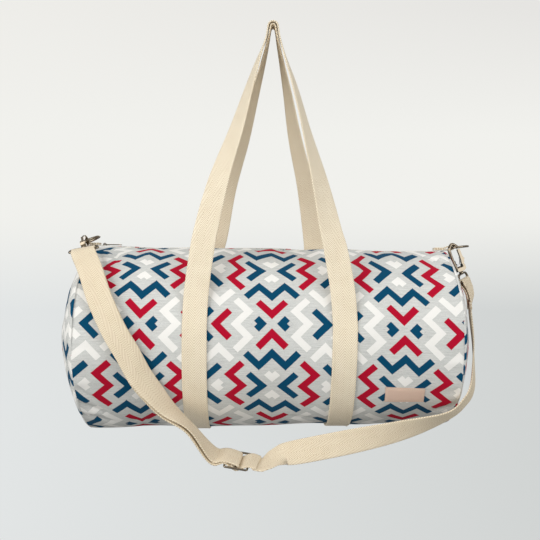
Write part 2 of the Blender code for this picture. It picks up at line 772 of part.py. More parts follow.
def strap_profile(total, glide):
    """The webbing's run as (distance along the route, height off it) pairs."""
    bar = EYE_WIRE + RUN_GAP + WEB_THICKNESS / 2
    pitch = WEB_THICKNESS + RUN_GAP
    slim = GLIDE_WIRE + RUN_GAP + WEB_THICKNESS / 2
    over = slim + pitch
    end = GLIDE_HALF_LENGTH
    double = 0.0022
    sewn = pitch / 2 + 0.0002
    rows = [(glide - 0.0062, -0.0010), (glide - 0.0034, 0.0012)]
    rows += [(glide + x, y) for x, y in arc((0, 0), slim, 100, -100, 8)]
    rows += [
        (glide - 0.0055, -slim - 0.0014), (glide - end, -slim - pitch), (glide - end - 0.010, -0.0042),
        (glide - 0.060, -double), (glide - 0.150, -double), (0.050, -0.0018), (0.010, -bar),
    ]
    rows += arc((0, 0), bar, -90, -270, 8)
    rows += [
        (0.010, bar), (0.050, 0.0018), (glide - 0.150, double), (glide - 0.060, double),
        (glide - end - 0.010, -0.0006), (glide - end, -slim), (glide - 0.0052, 0.0024),
        (glide, over), (glide + 0.0052, 0.0024), (glide + end, -slim - 0.0002), (glide + end + 0.010, -slim),
        (glide + 0.060, 0.0),
    ]
    rows = [(s, -height) for s, height in rows]
    rows += [(total - 0.070, 0.0), (total - 0.045, sewn), (total - 0.010, bar)]
    rows += [(total + x, y) for x, y in arc((0, 0), bar, 90, -90, 8)]
    rows += [(total - 0.010, -bar), (total - 0.025, -sewn), (total - 0.036, -sewn)]
    return rows


def build_strap(route, glide, finish):
    """One length of webbing, folded round both eyes and the adjuster's middle bar."""
    total = route[1][-1]
    places = []
    across = []
    for s, height in smooth_path(strap_profile(total, glide), 0.011):
        place, tangent, side, out = route_frame(route, s)
        places.append(place + out * height)
        across.append(side)

    def build(bm):
        loft(bm, strip_rings(places, across, WEB_THICKNESS, WEB_WIDTH))

    add_object("shoulder_strap", mesh_from("shoulder_strap", build), finish)


def build_tri_glide(route, glide, finish):
    """Wire frame with a middle bar; the webbing goes under, over and under."""
    place, tangent, side, out = route_frame(route, glide)
    frame = Matrix((tangent, side, out)).transposed().to_4x4()
    frame.translation = place

    def build(bm):
        corner = 0.002
        end = GLIDE_HALF_LENGTH
        half = GLIDE_HALF_WIDTH
        outline = []
        for sx, sy, start in ((1, 1, 0), (-1, 1, 90), (-1, -1, 180), (1, -1, 270)):
            centre = (sx * (end - corner), sy * (half - corner))
            outline += arc(centre, corner, start, start + 90, 4)
        points = [Vector((x, y, 0.0)) for x, y in outline]
        loft(bm, tube_rings(points, GLIDE_WIRE, GLIDE_WIRE, Vector((0, 0, 1)), 8, True), True)

    def build_bar(bm):
        points = [Vector((0.0, y, 0.0)) for y in (-GLIDE_HALF_WIDTH, GLIDE_HALF_WIDTH)]
        loft(bm, tube_rings(points, GLIDE_WIRE * 0.96, GLIDE_WIRE * 0.96, Vector((0, 0, 1)), 8))

    adjuster = add_object("tri_glide", mesh_from("tri_glide", build), finish, 50.0)
    adjuster.matrix_world = frame
    bar = mesh_from("glide_bar", build_bar)
    bar.transform(frame)
    cut(adjuster, "glide_bar", bar, "UNION")


def build_label(finish):
    """Small cloth label lying on the barrel's lower front."""
    def build(bm):
        rings = []
        across_steps = 6
        up_steps = 5
        for i in range(across_steps + 1):
            share = i / across_steps - 0.5
            x = LABEL_CENTRE_X + share * LABEL_WIDTH
            reach = radius_at(x)
            middle = LABEL_ANGLE + math.tan(LABEL_SLANT) * share * LABEL_WIDTH / reach
            outer = []
            inner = []
            for j in range(up_steps + 1):
                angle = middle + (j / up_steps - 0.5) * LABEL_HEIGHT / reach
                outer.append(barrel_point(x, angle, SEAM_GAP + LABEL_THICKNESS))
                inner.append(barrel_point(x, angle, SEAM_GAP))
            rings.append(outer + inner[::-1])
        loft(bm, rings)

    add_object("side_label", mesh_from("side_label", build), finish)


def main():
    clear_scene()
    cloth = material("printed_cloth", GREY_CLOTH, 0.9)
    webbing = material("webbing", CREAM, 0.9)
    nickel = material("nickel", NICKEL, 0.25, 1.0)
    tape = material("zip_tape", TAPE_CLOTH, 0.85)
    label = material("label_cloth", LABEL_CLOTH, 0.85)

    build_main_panel(cloth)
    build_end_panel("end_panel_left", END_LEFT, BULGE_LEFT, RADIUS_LEFT, cloth)
    build_end_panel("end_panel_right", END_RIGHT, BULGE_RIGHT, RADIUS_RIGHT, cloth)
    build_zip_tape("zip_tape_front", -1.0, tape)
    build_zip_tape("zip_tape_back", 1.0, tape)
    build_zip_slider(nickel)
    build_zip_pull(nickel)
    build_handle("handle_front", True, webbing)
    build_handle("handle_back", False, webbing)
    build_ring_tab("ring_tab_left", BAR_LEFT, -1.0, webbing)
    build_ring_tab("ring_tab_right", BAR_RIGHT, 1.0, webbing)
    build_d_ring("d_ring_left", ring_frame(BAR_LEFT, 1.0, RING_TILT_LEFT), nickel)
    build_d_ring("d_ring_right", ring_frame(BAR_RIGHT, 1.0, RING_TILT_RIGHT), nickel)
    frames = hook_frames()
    for side, (claw, eye) in frames.items():
        build_hook_body(f"hook_body_{side}", claw, nickel)
        build_hook_gate(f"hook_gate_{side}", claw, nickel)
        build_gate_pin(f"gate_pin_{side}", claw, nickel)
        build_gate_spring(f"gate_spring_{side}", claw, nickel)
        build_hook_eye(f"hook_eye_{side}", eye, nickel)
    route = strap_route(frames)
    glide = glide_place(route)
    build_strap(route, glide, webbing)
    build_tri_glide(route, glide, nickel)
    build_label(label)


main()
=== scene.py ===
import math

import bmesh
import bpy
import numpy as np
from mathutils import Matrix, Vector


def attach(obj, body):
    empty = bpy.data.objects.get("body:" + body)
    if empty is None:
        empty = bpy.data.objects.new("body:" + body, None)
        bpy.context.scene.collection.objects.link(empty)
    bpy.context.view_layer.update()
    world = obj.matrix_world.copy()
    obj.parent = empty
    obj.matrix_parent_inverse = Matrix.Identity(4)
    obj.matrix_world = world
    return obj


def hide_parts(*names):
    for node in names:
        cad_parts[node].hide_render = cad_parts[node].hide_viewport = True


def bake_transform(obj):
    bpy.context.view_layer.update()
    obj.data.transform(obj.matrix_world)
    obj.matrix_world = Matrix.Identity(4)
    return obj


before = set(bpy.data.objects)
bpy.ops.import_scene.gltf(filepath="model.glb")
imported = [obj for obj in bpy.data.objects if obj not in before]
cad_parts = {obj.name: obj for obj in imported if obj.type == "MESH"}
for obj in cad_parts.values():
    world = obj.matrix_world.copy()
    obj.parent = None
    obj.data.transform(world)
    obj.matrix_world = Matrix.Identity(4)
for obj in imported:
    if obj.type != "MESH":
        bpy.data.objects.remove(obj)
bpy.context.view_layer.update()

# Sizes of the frame that the visible pieces follow, in metres
AXIS_Z = -0.407
BAG_X = -0.004
RADIUS_LEFT = 0.1185
RADIUS_RIGHT = 0.1119
MEAN_RADIUS = 0.115
END_LEFT = -0.2365
END_RIGHT = 0.2330
END_PULL = 0.009
BULGE_LEFT = 0.024
BULGE_RIGHT = 0.014
BULGE_POWER = 2.5
END_SPREAD = 1.05
CLOTH = 0.003
SEAM_GAP = 0.0003
SEAM_LAP = 0.0016
LINING_LIFT = -CLOTH + 0.0004
ZIP_HALF_OPENING = 0.012
TAPE_UNDERLAP = 0.006
WEB_WIDTH = 0.030
WEB_THICKNESS = 0.002
WEB_LIFT = 0.0004
WEB_SLIM = 0.95
TAB_WIDTH = 0.016
TAB_THICKNESS = 0.0016
TAB_REACH = 0.0225
RUN_GAP = 0.0003
HANDLE_X = 0.0905
HANDLE_BASE_LEFT = -HANDLE_X - 0.0015
HANDLE_BASE_RIGHT = HANDLE_X - 0.0045
HANDLE_BACK_SHIFT = -0.018
SEWN_TOP = 10.0
HOOK_RADIUS = 0.002
HOOK_X = 0.004
RING_WIRE = 0.0015
RING_HALF = 0.0165
RING_DEPTH = 0.0225
RING_CORNER = 0.005
BAR_LEFT = Vector((-0.2455, 0.0, -0.2843))
BAR_RIGHT = Vector((0.2375, 0.0, -0.2909))
RING_TILT_LEFT = math.radians(22.0)
RING_TILT_RIGHT = math.radians(6.0)
EYE_WIRE = 0.0015
EYE_HALF = 0.0182
EYE_DROP = 0.0130
POST_RADIUS = 0.0018
CLAW_WIDTH = 0.0040
CLAW_DEPTH = 0.0054
CLAW_SEAT = 0.0326
GATE_PIVOT = (0.0053, 0.0064)
GATE_DEPTH = 0.0032
PIN_RADIUS = 0.0008
CAST_SHARP = 40.0
GLIDE_WIRE = 0.00125
GLIDE_HALF_LENGTH = 0.014
GLIDE_HALF_WIDTH = 0.0174
GLIDE_X = -0.0387
GLIDE_ANGLE = math.radians(-54.5)
GLIDE_GAP = 0.0605
GLIDE_TANGENT = Vector((0.975, -0.12, -0.14)).normalized()
GLIDE_ACROSS = (0.16, 0.90, 0.38)
GLIDE_STRAIGHT = 0.016
FOLLOW_NEAR = 0.018
FOLLOW_FAR = 0.060
LABEL_CENTRE_X = 0.1645
LABEL_ANGLE = math.radians(-35.4)
LABEL_WIDTH = 0.048
LABEL_HEIGHT = 0.0225
LABEL_SLANT = math.radians(-2.0)

# Sewn rows: each stitch's length, the gap to the next and the thread's thickness
HANDLE_STITCH = (0.0026, 0.0009, 0.0005)
TAB_STITCH = (0.0022, 0.0006, 0.00045)
STRAP_STITCH = (0.0024, 0.0006, 0.0005)
ZIP_STITCH = (0.0027, 0.0008, 0.0005)
LABEL_STITCH = (0.0020, 0.0007, 0.0004)

# Camera: where it stands, its focal length and picture width in pixels, and its sensor in millimetres
CAMERA_PLACE = (-0.004, -1.28, -0.320)
FOCAL_PIXELS = 973.0
PICTURE_PIXELS = 540.0
SENSOR = 36.0

# Print: half the repeat, and the unit that all its strokes are drawn in
PRINT_HALF = 0.0790
PRINT_UNIT = PRINT_HALF / 6.6
PRINT_X = 0.0024
PRINT_RISE = 0.0226
PRINT_RADIUS = 0.1152


def linear(red, green, blue):
    """A colour as the eye reads it, 0 to 255, to the values a shader takes."""
    values = []
    for part in (red, green, blue):
        part /= 255
        values.append(part / 12.92 if part <= 0.04045 else ((part + 0.055) / 1.055) ** 2.4)
    return (*values, 1.0)


GREY_PALE = linear(223, 224, 221)
GREY_DARK = linear(196, 198, 195)
WHITE = linear(245, 244, 240)
TEAL = linear(3, 72, 105)
RED = linear(183, 12, 46)
CREAM = linear(255, 246, 224)
# CREAM_DARK: the webbing's colour where painted shade darkens its rib valleys, and in its darker random
# mottling.
CREAM_DARK = linear(184, 156, 115)
THREAD = linear(242, 230, 205)
LABEL = linear(231, 201, 182)
LINING = linear(222, 218, 208)
TAPE = linear(226, 222, 212)
NICKEL = linear(158, 147, 130)


# Materials
def feed(tree, socket, value):
    """Gives a socket its value: a field, another node's socket, a colour or a number."""
    if isinstance(value, Field):
        value = value.socket
    if isinstance(value, bpy.types.NodeSocket):
        tree.links.new(value, socket)
    else:
        socket.default_value = value


def darker(colour, share):
    return (*(part * share for part in colour[:3]), 1.0)


class Field:
    """A number that varies over a surface, made of math nodes."""

    def __init__(self, tree, socket):
        self.tree = tree
        self.socket = socket

    def op(self, operation, *others, clamp=False):
        node = self.tree.nodes.new("ShaderNodeMath")
        node.operation = operation
        node.use_clamp = clamp
        for i, value in enumerate((self, *others)):
            feed(self.tree, node.inputs[i], value)
        return Field(self.tree, node.outputs[0])

    def __add__(self, other):
        return self.op("ADD", other)

    def __sub__(self, other):
        return self.op("SUBTRACT", other)

    def __mul__(self, other):
        return self.op("MULTIPLY", other)

    def __truediv__(self, other):
        return self.op("DIVIDE", other)

    def absolute(self):
        return self.op("ABSOLUTE")

    def clamped(self):
        """Held between 0 and 1."""
        return self.op("ADD", 0.0, clamp=True)

    def positive(self):
        return self.op("MAXIMUM", 0.0)

    def inverse(self):
        return (self * -1.0) + 1.0

    def under(self, other, soft):
        """1 where self is under other, 0 over it, with an edge soft wide."""
        gap = (self - other) * (-1.0 / soft)
        return gap.op("ADD", 0.5, clamp=True)

    def both(self, other):
        return self.op("MINIMUM", other)

    def either(self, other):
        return self.op("MAXIMUM", other)


def parts_of(tree, vector):
    """A vector's x, y and z as fields."""
    split = tree.nodes.new("ShaderNodeSeparateXYZ")
    feed(tree, split.inputs[0], vector)
    return [Field(tree, socket) for socket in split.outputs]


class Finish:
    """A node material with a Principled shader."""

    def __init__(self, name, roughness, metallic=0.0, sheen=0.0):
        self.material = bpy.data.materials.new(name)
        self.material.use_nodes = True
        self.tree = self.material.node_tree
        self.shader = self.tree.nodes["Principled BSDF"]
        self.shader.inputs["Roughness"].default_value = roughness
        self.shader.inputs["Metallic"].default_value = metallic
        if sheen:
            self.shader.inputs["Sheen Weight"].default_value = sheen
            self.shader.inputs["Sheen Roughness"].default_value = 0.5
        if not metallic:
            self.shader.inputs["Specular IOR Level"].default_value = 0.1

    def run(self):
        """The surface's own run across and along, in metres, from its UV map."""
        node = self.tree.nodes.new("ShaderNodeUVMap")
        node.uv_map = "run"
        return parts_of(self.tree, node.outputs[0])[:2]

    def place(self):
        return self.tree.nodes.new("ShaderNodeTexCoord").outputs["Object"]

    def joined(self, across, along):
        node = self.tree.nodes.new("ShaderNodeCombineXYZ")
        feed(self.tree, node.inputs[0], across)
        feed(self.tree, node.inputs[1], along)
        return node.outputs[0]

    def noise(self, vector, scale, detail=3.0, stretch=(1.0, 1.0, 1.0), roughness=0.55):
        mapping = self.tree.nodes.new("ShaderNodeMapping")
        mapping.inputs["Scale"].default_value = stretch
        self.tree.links.new(vector, mapping.inputs[0])
        node = self.tree.nodes.new("ShaderNodeTexNoise")
        node.inputs["Scale"].default_value = scale
        node.inputs["Detail"].default_value = detail
        node.inputs["Roughness"].default_value = roughness
        self.tree.links.new(mapping.outputs[0], node.inputs["Vector"])
        return Field(self.tree, node.outputs[0])

    def mix(self, share, first, second):
        """first where share is 0, second where it is 1; each a colour or a socket."""
        node = self.tree.nodes.new("ShaderNodeMix")
        node.data_type = "RGBA"
        feed(self.tree, node.inputs["Factor"], share)
        feed(self.tree, node.inputs[6], first)
        feed(self.tree, node.inputs[7], second)
        return node.outputs[2]

    def colour(self, value):
        feed(self.tree, self.shader.inputs["Base Color"], value)

    def roughness(self, field):
        feed(self.tree, self.shader.inputs["Roughness"], field)

    def bump(self, height, distance, strength=1.0):
        node = self.tree.nodes.new("ShaderNodeBump")
        node.inputs["Distance"].default_value = distance
        node.inputs["Strength"].default_value = strength
        feed(self.tree, node.inputs["Height"], height)
        feed(self.tree, self.shader.inputs["Normal"], node.outputs[0])


def weave(across, along, pitch):
    """Plain weave: threads over and under each other, 0 to 1 high."""
    turn = 2 * math.pi / pitch
    warp = (across * turn).op("SINE")
    weft = (along * turn).op("SINE")
    return (warp * weft) * 0.5 + 0.5


def print_masks(across, along):
    """Masks of the three inks. All strokes stand at 45 degrees round a square lattice."""
    soft = 0.035
    column = ((across / PRINT_HALF) + 0.5).op("FLOOR")
    row = ((along / PRINT_HALF) + 0.5).op("FLOOR")
    level = ((across - column * PRINT_HALF) / PRINT_UNIT).absolute()
    rise = ((along - row * PRINT_HALF) / PRINT_UNIT).absolute()
    even_column = (column * 0.5).op("FRACT").under(0.25, 0.1)
    even_row = (row * 0.5).op("FRACT").under(0.25, 0.1)
    late = ((column * 0.25).op("FRACT") - 0.75).absolute().under(0.1, 0.1)
    upright = (even_column - even_row).absolute().inverse()
    # p runs along the axis of a centre's chevrons, q along the axis of its hearts
    p = rise * upright + level * upright.inverse()
    q = level * upright + rise * upright.inverse()

    arm = ((p - q) - 0.95).absolute().under(0.50, soft)
    chevron = arm.both((p + q).under(3.76, soft))
    body = ((q - 1.30).absolute() + p).under(0.80, soft)
    notch = ((q - 1.80).absolute() + p).under(0.30, soft)
    heart = body.both(notch.inverse())

    def zigzag(out, side):
        inner = ((out - side) - 2.95).absolute().under(0.50, soft).both(side.under(1.34, soft))
        outer = ((out + side) - 5.57).absolute().under(0.50, soft)
        outer = outer.both(side.under(1.28, soft).inverse()).both((side - out).under(-0.32, soft))
        return inner.either(outer)

    own = zigzag(p, q)
    other = zigzag((q * -1.0) + 2 * 3.3, p)

    centre_a = even_column * even_row
    centre_b = even_column * even_row.inverse()
    centre_c = even_column.inverse() * even_row
    centre_d = even_column.inverse() * even_row.inverse()
    strong = centre_a + centre_c * late
    weak = strong.inverse()
    red = chevron * strong + own * centre_b + other * centre_d
    teal = chevron * weak + heart * strong + own * centre_a + other * centre_b
    white = heart * weak + own * (centre_c + centre_d) + other * (centre_a + centre_c)
    return white, teal, red


def print_warp(across, along):
    """How the sewn cloth carries the print: a factor across, and shifts up and across in metres."""
    # The cloth is sewn a little askew: columns spread towards the base, rows drop towards the right
    lean = across.op("SIGN") * 0.08 + 0.28
    spread = (along - 0.035) * lean + 1.0
    rise = (across - 0.060).positive() * -0.078 + PRINT_RISE

    def near(middle, reach):
        gap = (across - middle) / reach
        return (gap * gap * -1.0 + 1.0).positive()

    # Each panel sags or is drawn up between its seams: middle, reach, start up the barrel, amount
    for middle, reach, start, amount in (
        (-0.125, 0.050, 0.080, -0.24), (0.005, 0.075, 0.030, -0.07), (0.140, 0.060, 0.090, 0.15),
    ):
        rise = near(middle, reach) * (along - start).positive() * amount + rise
    low = (along * -16.0 - 0.2).clamped()
    rise = near(-0.100, 0.110) * low * 0.0050 + rise
    # Towards the left end it is drawn down into the folds above and pulled up below
    gathered = (across * -1.0 - 0.158).positive() * (along - 0.060).positive() * 9.3
    pulled = (across * -1.0 - 0.180).positive() * (along * -20.0 + 0.6).clamped() * 0.12
    rise = rise - gathered + pulled
    # High up, the handle seams draw it towards them; low down, the right end does
    high = ((along - 0.075) * 24.0).clamped()
    drawn = (near(-0.022, 0.026) + near(0.132, 0.022)) * high * 0.0042
    drawn = ((across - 0.060) * 15.0).clamped() * low * 0.0028 + drawn
    return spread, rise, drawn


def printed_cloth(name, shift=(0.0, 0.0)):
    finish = Finish(name, 0.92, sheen=0.03)
    across, along = finish.run()
    vector = finish.joined(across, along)
    wobble = (finish.noise(vector, 900.0, 2.0) - 0.5) * 0.0006
    spread, rise, drawn = print_warp(across, along)
    white, teal, red = print_masks(
        across * spread + wobble + drawn - PRINT_X - shift[0], along - wobble - rise - shift[1]
    )
    streak = finish.noise(vector, 260.0, 4.0, (0.25, 3.0, 1.0), 0.7)
    fleck = finish.noise(vector, 1100.0, 2.0, (0.6, 1.0, 1.0))
    heather = ((streak - 0.5) * 2.6 + (fleck - 0.5) * 1.2).op("ADD", 0.5, clamp=True)
    ground = finish.mix(heather, GREY_DARK, GREY_PALE)
    ground = finish.mix(white, ground, WHITE)
    ground = finish.mix(teal, ground, TEAL)
    ground = finish.mix(red, ground, RED)
    threads = weave(across, along, 0.0011)
    # Darker in the weave's dips, painted shade, and mottled at random by the heather's streaks and flecks.
    mottle_and_painted_shade = (threads - 0.5) * 0.08 + (streak - 0.5) * 0.24 + (fleck - 0.5) * 0.20
    dark = finish.mix(0.35, ground, (0.0, 0.0, 0.0, 1.0))
    pale = finish.mix((mottle_and_painted_shade * -1.0 + 0.02).positive(), ground, dark)
    finish.colour(pale)
    finish.roughness(threads * 0.06 + 0.86)
    finish.bump(threads * 0.7 + streak * 0.6, 0.00018, 0.8)
    return finish.material


def webbing(name, dark=0.0):
    """Herringbone cotton webbing: four slanting stripes across the width, whose rib valleys and stripe edges
    are darkened with painted shade.
    """
    finish = Finish(name, 0.9, sheen=0.15)
    across, along = finish.run()
    vector = finish.joined(across, along)
    stripe = WEB_WIDTH / 4
    wobble = (finish.noise(vector, 160.0, 2.0) - 0.5) * 0.0010
    fold = across.op("PINGPONG", stripe)
    slope = along + fold * 1.6 + wobble
    rib = ((slope * (2 * math.pi / 0.0033)).op("SINE") * 0.5 + 0.5).op("POWER", 0.55)
    edge = (fold / stripe - 0.5).absolute() * 2.0
    groove = edge.under(0.96, 0.12) * 0.25 + 0.75
    yarn = (along * (2 * math.pi / 0.00078)).op("SINE") * 0.5 + 0.5
    fuzz = finish.noise(vector, 900.0, 4.0)
    patch = finish.noise(vector, 45.0, 3.0)
    height = (rib * groove) * 0.8 + yarn * 0.12 + fuzz * 0.35
    # Painted shade: the colour darkens in the rib valleys and at the stripe edges; fuzz and patch add random
    # mottling.
    painted_valley_shade = ((rib * groove) * -1.0 + 1.0).op("POWER", 1.4)
    mottle_and_painted_shade = painted_valley_shade * 0.90 + (fuzz - 0.5) * 0.30 + (patch - 0.5) * 0.24 + 0.02
    base = finish.mix(mottle_and_painted_shade.clamped(), CREAM, CREAM_DARK)
    # dark tints the colour towards a darker brown; on the back handle's copy this tint is painted shade.
    if dark:
        base = finish.mix(dark, base, linear(190, 160, 110))
    finish.colour(base)
    finish.bump(height, 0.00030, 0.8)
    return finish.material


def plain_weave(name, colour, pitch, depth, roughness=0.9, spread=0.12):
    finish = Finish(name, roughness, sheen=0.1)
    across, along = finish.run()
    vector = finish.joined(across, along)
    threads = weave(across, along, pitch)
    fuzz = finish.noise(vector, 1100.0, 3.0)
    # Lighter on the thread tops and darker in the weave's dips, painted shade, with random mottling from the
    # fuzz.
    finish.colour(finish.mix((threads * 0.6 + fuzz * 0.5).clamped(), darker(colour, 1.0 - spread), colour))
    finish.bump(threads + fuzz * 0.4, depth)
    return finish.material


def polished(name, colour, roughness):
    finish = Finish(name, roughness, metallic=1.0)
    place = finish.place()
    smear = finish.noise(place, 90.0, 4.0)
    fine = finish.noise(place, 2600.0, 2.0, (1.0, 1.0, 0.15))
    finish.colour(finish.mix(smear, darker(colour, 0.9), colour))
    finish.roughness(smear * 0.16 + (roughness - 0.05))
    finish.bump(fine, 0.00002, 0.35)
    return finish.material


def thread_finish(name, colour):
    finish = Finish(name, 0.75, sheen=0.2)
    place = finish.place()
    twist = finish.noise(place, 2400.0, 2.0)
    finish.colour(finish.mix(twist, darker(colour, 0.85), colour))
    finish.bump(twist, 0.00008)
    return finish.material


# Shape helpers
def add_piece(name, data, finish, body, *replaced, slot=None, smooth=180.0):
    piece = bpy.data.objects.new(name, data)
    bpy.context.scene.collection.objects.link(piece)
    data.materials.append(finish)
    data.shade_smooth()
    if smooth < 180.0:
        data.set_sharp_from_angle(angle=math.radians(smooth))
    if body:
        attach(piece, body)
    if replaced:
        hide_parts(*replaced)
    return piece


def faced_out(data, weld=False):
    """Turns a mesh's faces outwards; weld first joins points that lie on one another."""
    fix = bmesh.new()
    fix.from_mesh(data)
    if weld:
        bmesh.ops.remove_doubles(fix, verts=fix.verts, dist=1e-6)
    bmesh.ops.recalc_face_normals(fix, faces=fix.faces)
    fix.to_mesh(data)
    fix.free()
    return data


def grid(name, points, run, closed=False, caps=False):
    """Quads over an array of points [row, column, xyz]; run is [row, column, 2] for the UVs.

    closed joins the last column to the first; run then has one column more than points.
    """
    rows, columns = points.shape[:2]
    data = bpy.data.meshes.new(name)
    wide = columns if closed else columns - 1
    i, j = np.meshgrid(np.arange(rows - 1), np.arange(wide), indexing="ij")
    i, j = i.ravel(), j.ravel()
    k = (j + 1) % columns
    faces = np.stack([i * columns + j, i * columns + k, (i + 1) * columns + k, (i + 1) * columns + j], 1)
    corners = np.stack([run[i, j], run[i, j + 1], run[i + 1, j + 1], run[i + 1, j]], 1)
    face_list = faces.tolist()
    if caps:
        face_list += [list(range(columns))[::-1], [(rows - 1) * columns + c for c in range(columns)]]
    data.from_pydata(points.reshape(-1, 3).tolist(), [], face_list)
    layer = data.uv_layers.new(name="run")
    values = np.zeros((len(data.loops), 2))
    values[:len(faces) * 4] = corners.reshape(-1, 2)
    if caps:
        values[len(faces) * 4:] = np.vstack([run[0, :columns][::-1], run[-1, :columns]])
    layer.data.foreach_set("uv", values.ravel())
    data.validate()
    return faced_out(data)


def arc(centre, radius, start, stop, steps):
    return [
        (
            centre[0] + radius * math.cos(math.radians(start + (stop - start) * i / steps)),
            centre[1] + radius * math.sin(math.radians(start + (stop - start) * i / steps)),
        )
        for i in range(steps + 1)
    ]


def smooth_path(rows, step):
    """Catmull-Rom curve through rows of numbers, sampled about every step metres."""
    rows = np.array(rows, dtype=float)
    places = rows[:, :3] if rows.shape[1] > 2 else rows
    padded = np.vstack([2 * rows[0] - rows[1], rows, 2 * rows[-1] - rows[-2]])
    samples = []
    for i in range(len(rows) - 1):
        length = np.linalg.norm(places[i + 1] - places[i])
        count = max(1, round(length / step))
        p0, p1, p2, p3 = padded[i:i + 4]
        for t in np.arange(count) / count:
            samples.append(0.5 * (
                2 * p1 + (p2 - p0) * t + (2 * p0 - 5 * p1 + 4 * p2 - p3) * t ** 2
                + (3 * p1 - p0 - 3 * p2 + p3) * t ** 3
            ))
    samples.append(rows[-1])
    return np.array(samples)


def lengths_along(points):
    """The distance along a line of points, from its first to each."""
    steps = np.linalg.norm(np.diff(np.asarray(points), axis=0), axis=1)
    return np.concatenate([[0.0], np.cumsum(steps)])


def evenly(samples, step):
    """Resamples rows of numbers to even steps along their first three columns."""
    lengths = lengths_along(samples[:, :3])
    count = max(2, round(lengths[-1] / step) + 1)
    at = np.linspace(0.0, lengths[-1], count)
    return np.stack([np.interp(at, lengths, samples[:, k]) for k in range(samples.shape[1])], 1)


def unit(vectors):
    return vectors / np.linalg.norm(vectors, axis=-1, keepdims=True)


def strip(name, places, across, thickness, width, start=0.0):
    """Webbing with rounded woven edges; the run goes across 0..width and along the middle."""
    places = np.array(places, dtype=float)
    across = np.array(across, dtype=float)
    tangent = unit(np.gradient(places, axis=0))
    side = across - tangent * np.sum(across * tangent, axis=1, keepdims=True)
    side = unit(side)
    out = np.cross(tangent, side)
    along = start + lengths_along(places)
    half = width / 2
    thin = thickness / 2
    steps = 13
    profile = [(-half + thin + (width - thickness) * i / (steps - 1), thin) for i in range(steps)]
    profile += [(half - thin * 0.35, thin * 0.75), (half, 0.0), (half - thin * 0.35, -thin * 0.75)]
    profile += [(half - thin - (width - thickness) * i / (steps - 1), -thin) for i in range(steps)]
    profile += [(-half + thin * 0.35, -thin * 0.75), (-half, 0.0), (-half + thin * 0.35, thin * 0.75)]
    profile = np.array(profile)
    ribs = 1.0 - 0.10 * (np.cos(profile[:, 0] / width * 8 * math.pi) > 0.93)
    level = profile[:, 1] * ribs
    points = (
        places[:, None, :] + side[:, None, :] * profile[None, :, :1]
        + out[:, None, :] * level[None, :, None]
    )
    run = np.zeros((len(places), len(profile) + 1, 2))
    run[:, :-1, 0] = profile[None, :, 0] + half
    run[:, -1, 0] = profile[0, 0] + half
    run[:, :, 1] = along[:, None]
    return grid(name, points, run, closed=True, caps=True)


def tube(name, points, radius, side_axis, sides=14, closed=True, flat=1.0):
    """Wire along points; side_axis is any direction that the path never follows."""
    points = np.array(points, dtype=float)
    if closed:
        tangent = unit(np.roll(points, -1, axis=0) - np.roll(points, 1, axis=0))
    else:
        tangent = unit(np.gradient(points, axis=0))
    side_axis = np.array(side_axis, dtype=float)
    across = unit(np.cross(tangent, side_axis))
    up = unit(np.cross(across, tangent))
    angle = np.linspace(0, 2 * math.pi, sides, endpoint=False)
    radii = np.broadcast_to(np.asarray(radius, dtype=float), (len(points),))[:, None, None]
    rings = (
        points[:, None, :]
        + across[:, None, :] * np.cos(angle)[None, :, None] * radii
        + up[:, None, :] * np.sin(angle)[None, :, None] * radii * flat
    )
    lengths = lengths_along(points)
    if closed:
        rings = np.concatenate([rings, rings[:1]])
        lengths = np.append(lengths, lengths[-1] + np.linalg.norm(points[0] - points[-1]))
    run = np.zeros((len(rings), sides + 1, 2))
    run[:, :, 0] = np.linspace(0, 2 * math.pi, sides + 1)[None, :] * float(np.max(radii))
    run[:, :, 1] = lengths[:, None]
    data = grid(name, rings, run, closed=True, caps=not closed)
    return faced_out(data, weld=True) if closed else data


def merged(name, parts):
    """Joins meshes into one and removes the parts."""
    joined = bmesh.new()
    for part in parts:
        joined.from_mesh(part)
        bpy.data.meshes.remove(part)
    data = bpy.data.meshes.new(name)
    joined.to_mesh(data)
    joined.free()
    return data


def placed(data, matrix):
    data.transform(matrix)
    return data


def stitches(places, outward, length, gap, thickness):
    """A row of sewn threads lying on a surface, each dipping in at both ends."""
    places = np.array(places, dtype=float)
    outward = np.array(outward, dtype=float)
    rows = evenly(np.hstack([places, outward]), (length + gap) / 6)
    rings = 5
    sides = 6
    verts = []
    faces = []
    angle = np.linspace(0, 2 * math.pi, sides, endpoint=False)
    for first in range(0, len(rows) - 5, 6):
        part = rows[first:first + 6]
        start, stop = part[0, :3], part[5, :3]
        up = unit(part[2, 3:])
        line = stop - start
        side = unit(np.cross(line, up))
        base = len(verts)
        for r in range(rings):
            t = r / (rings - 1)
            swell = math.sin(math.pi * (0.12 + 0.76 * t))
            middle = start + line * (0.08 + 0.84 * t) + up * thickness * (swell * 1.1 - 0.75)
            for a in angle:
                out = side * math.cos(a) + up * math.sin(a)
                verts.append(middle + out * thickness / 2 * (0.55 + 0.45 * swell))
        for r in range(rings - 1):
            for s in range(sides):
                n = (s + 1) % sides
                low = base + r * sides
                faces.append([low + s, low + n, low + sides + n, low + sides + s])
        faces.append([base + s for s in range(sides)][::-1])
        faces.append([base + (rings - 1) * sides + s for s in range(sides)])
    data = bpy.data.meshes.new("row")
    data.from_pydata([tuple(v) for v in verts], [], faces)
    return faced_out(data)


# The bag's cloth surface
def radius_at(x):
    share = (x - END_LEFT) / (END_RIGHT - END_LEFT)
    return RADIUS_LEFT + (RADIUS_RIGHT - RADIUS_LEFT) * share


def end_reach(end, angle):
    return end - math.copysign(1.0, end) * END_PULL * np.sin(angle) ** 2


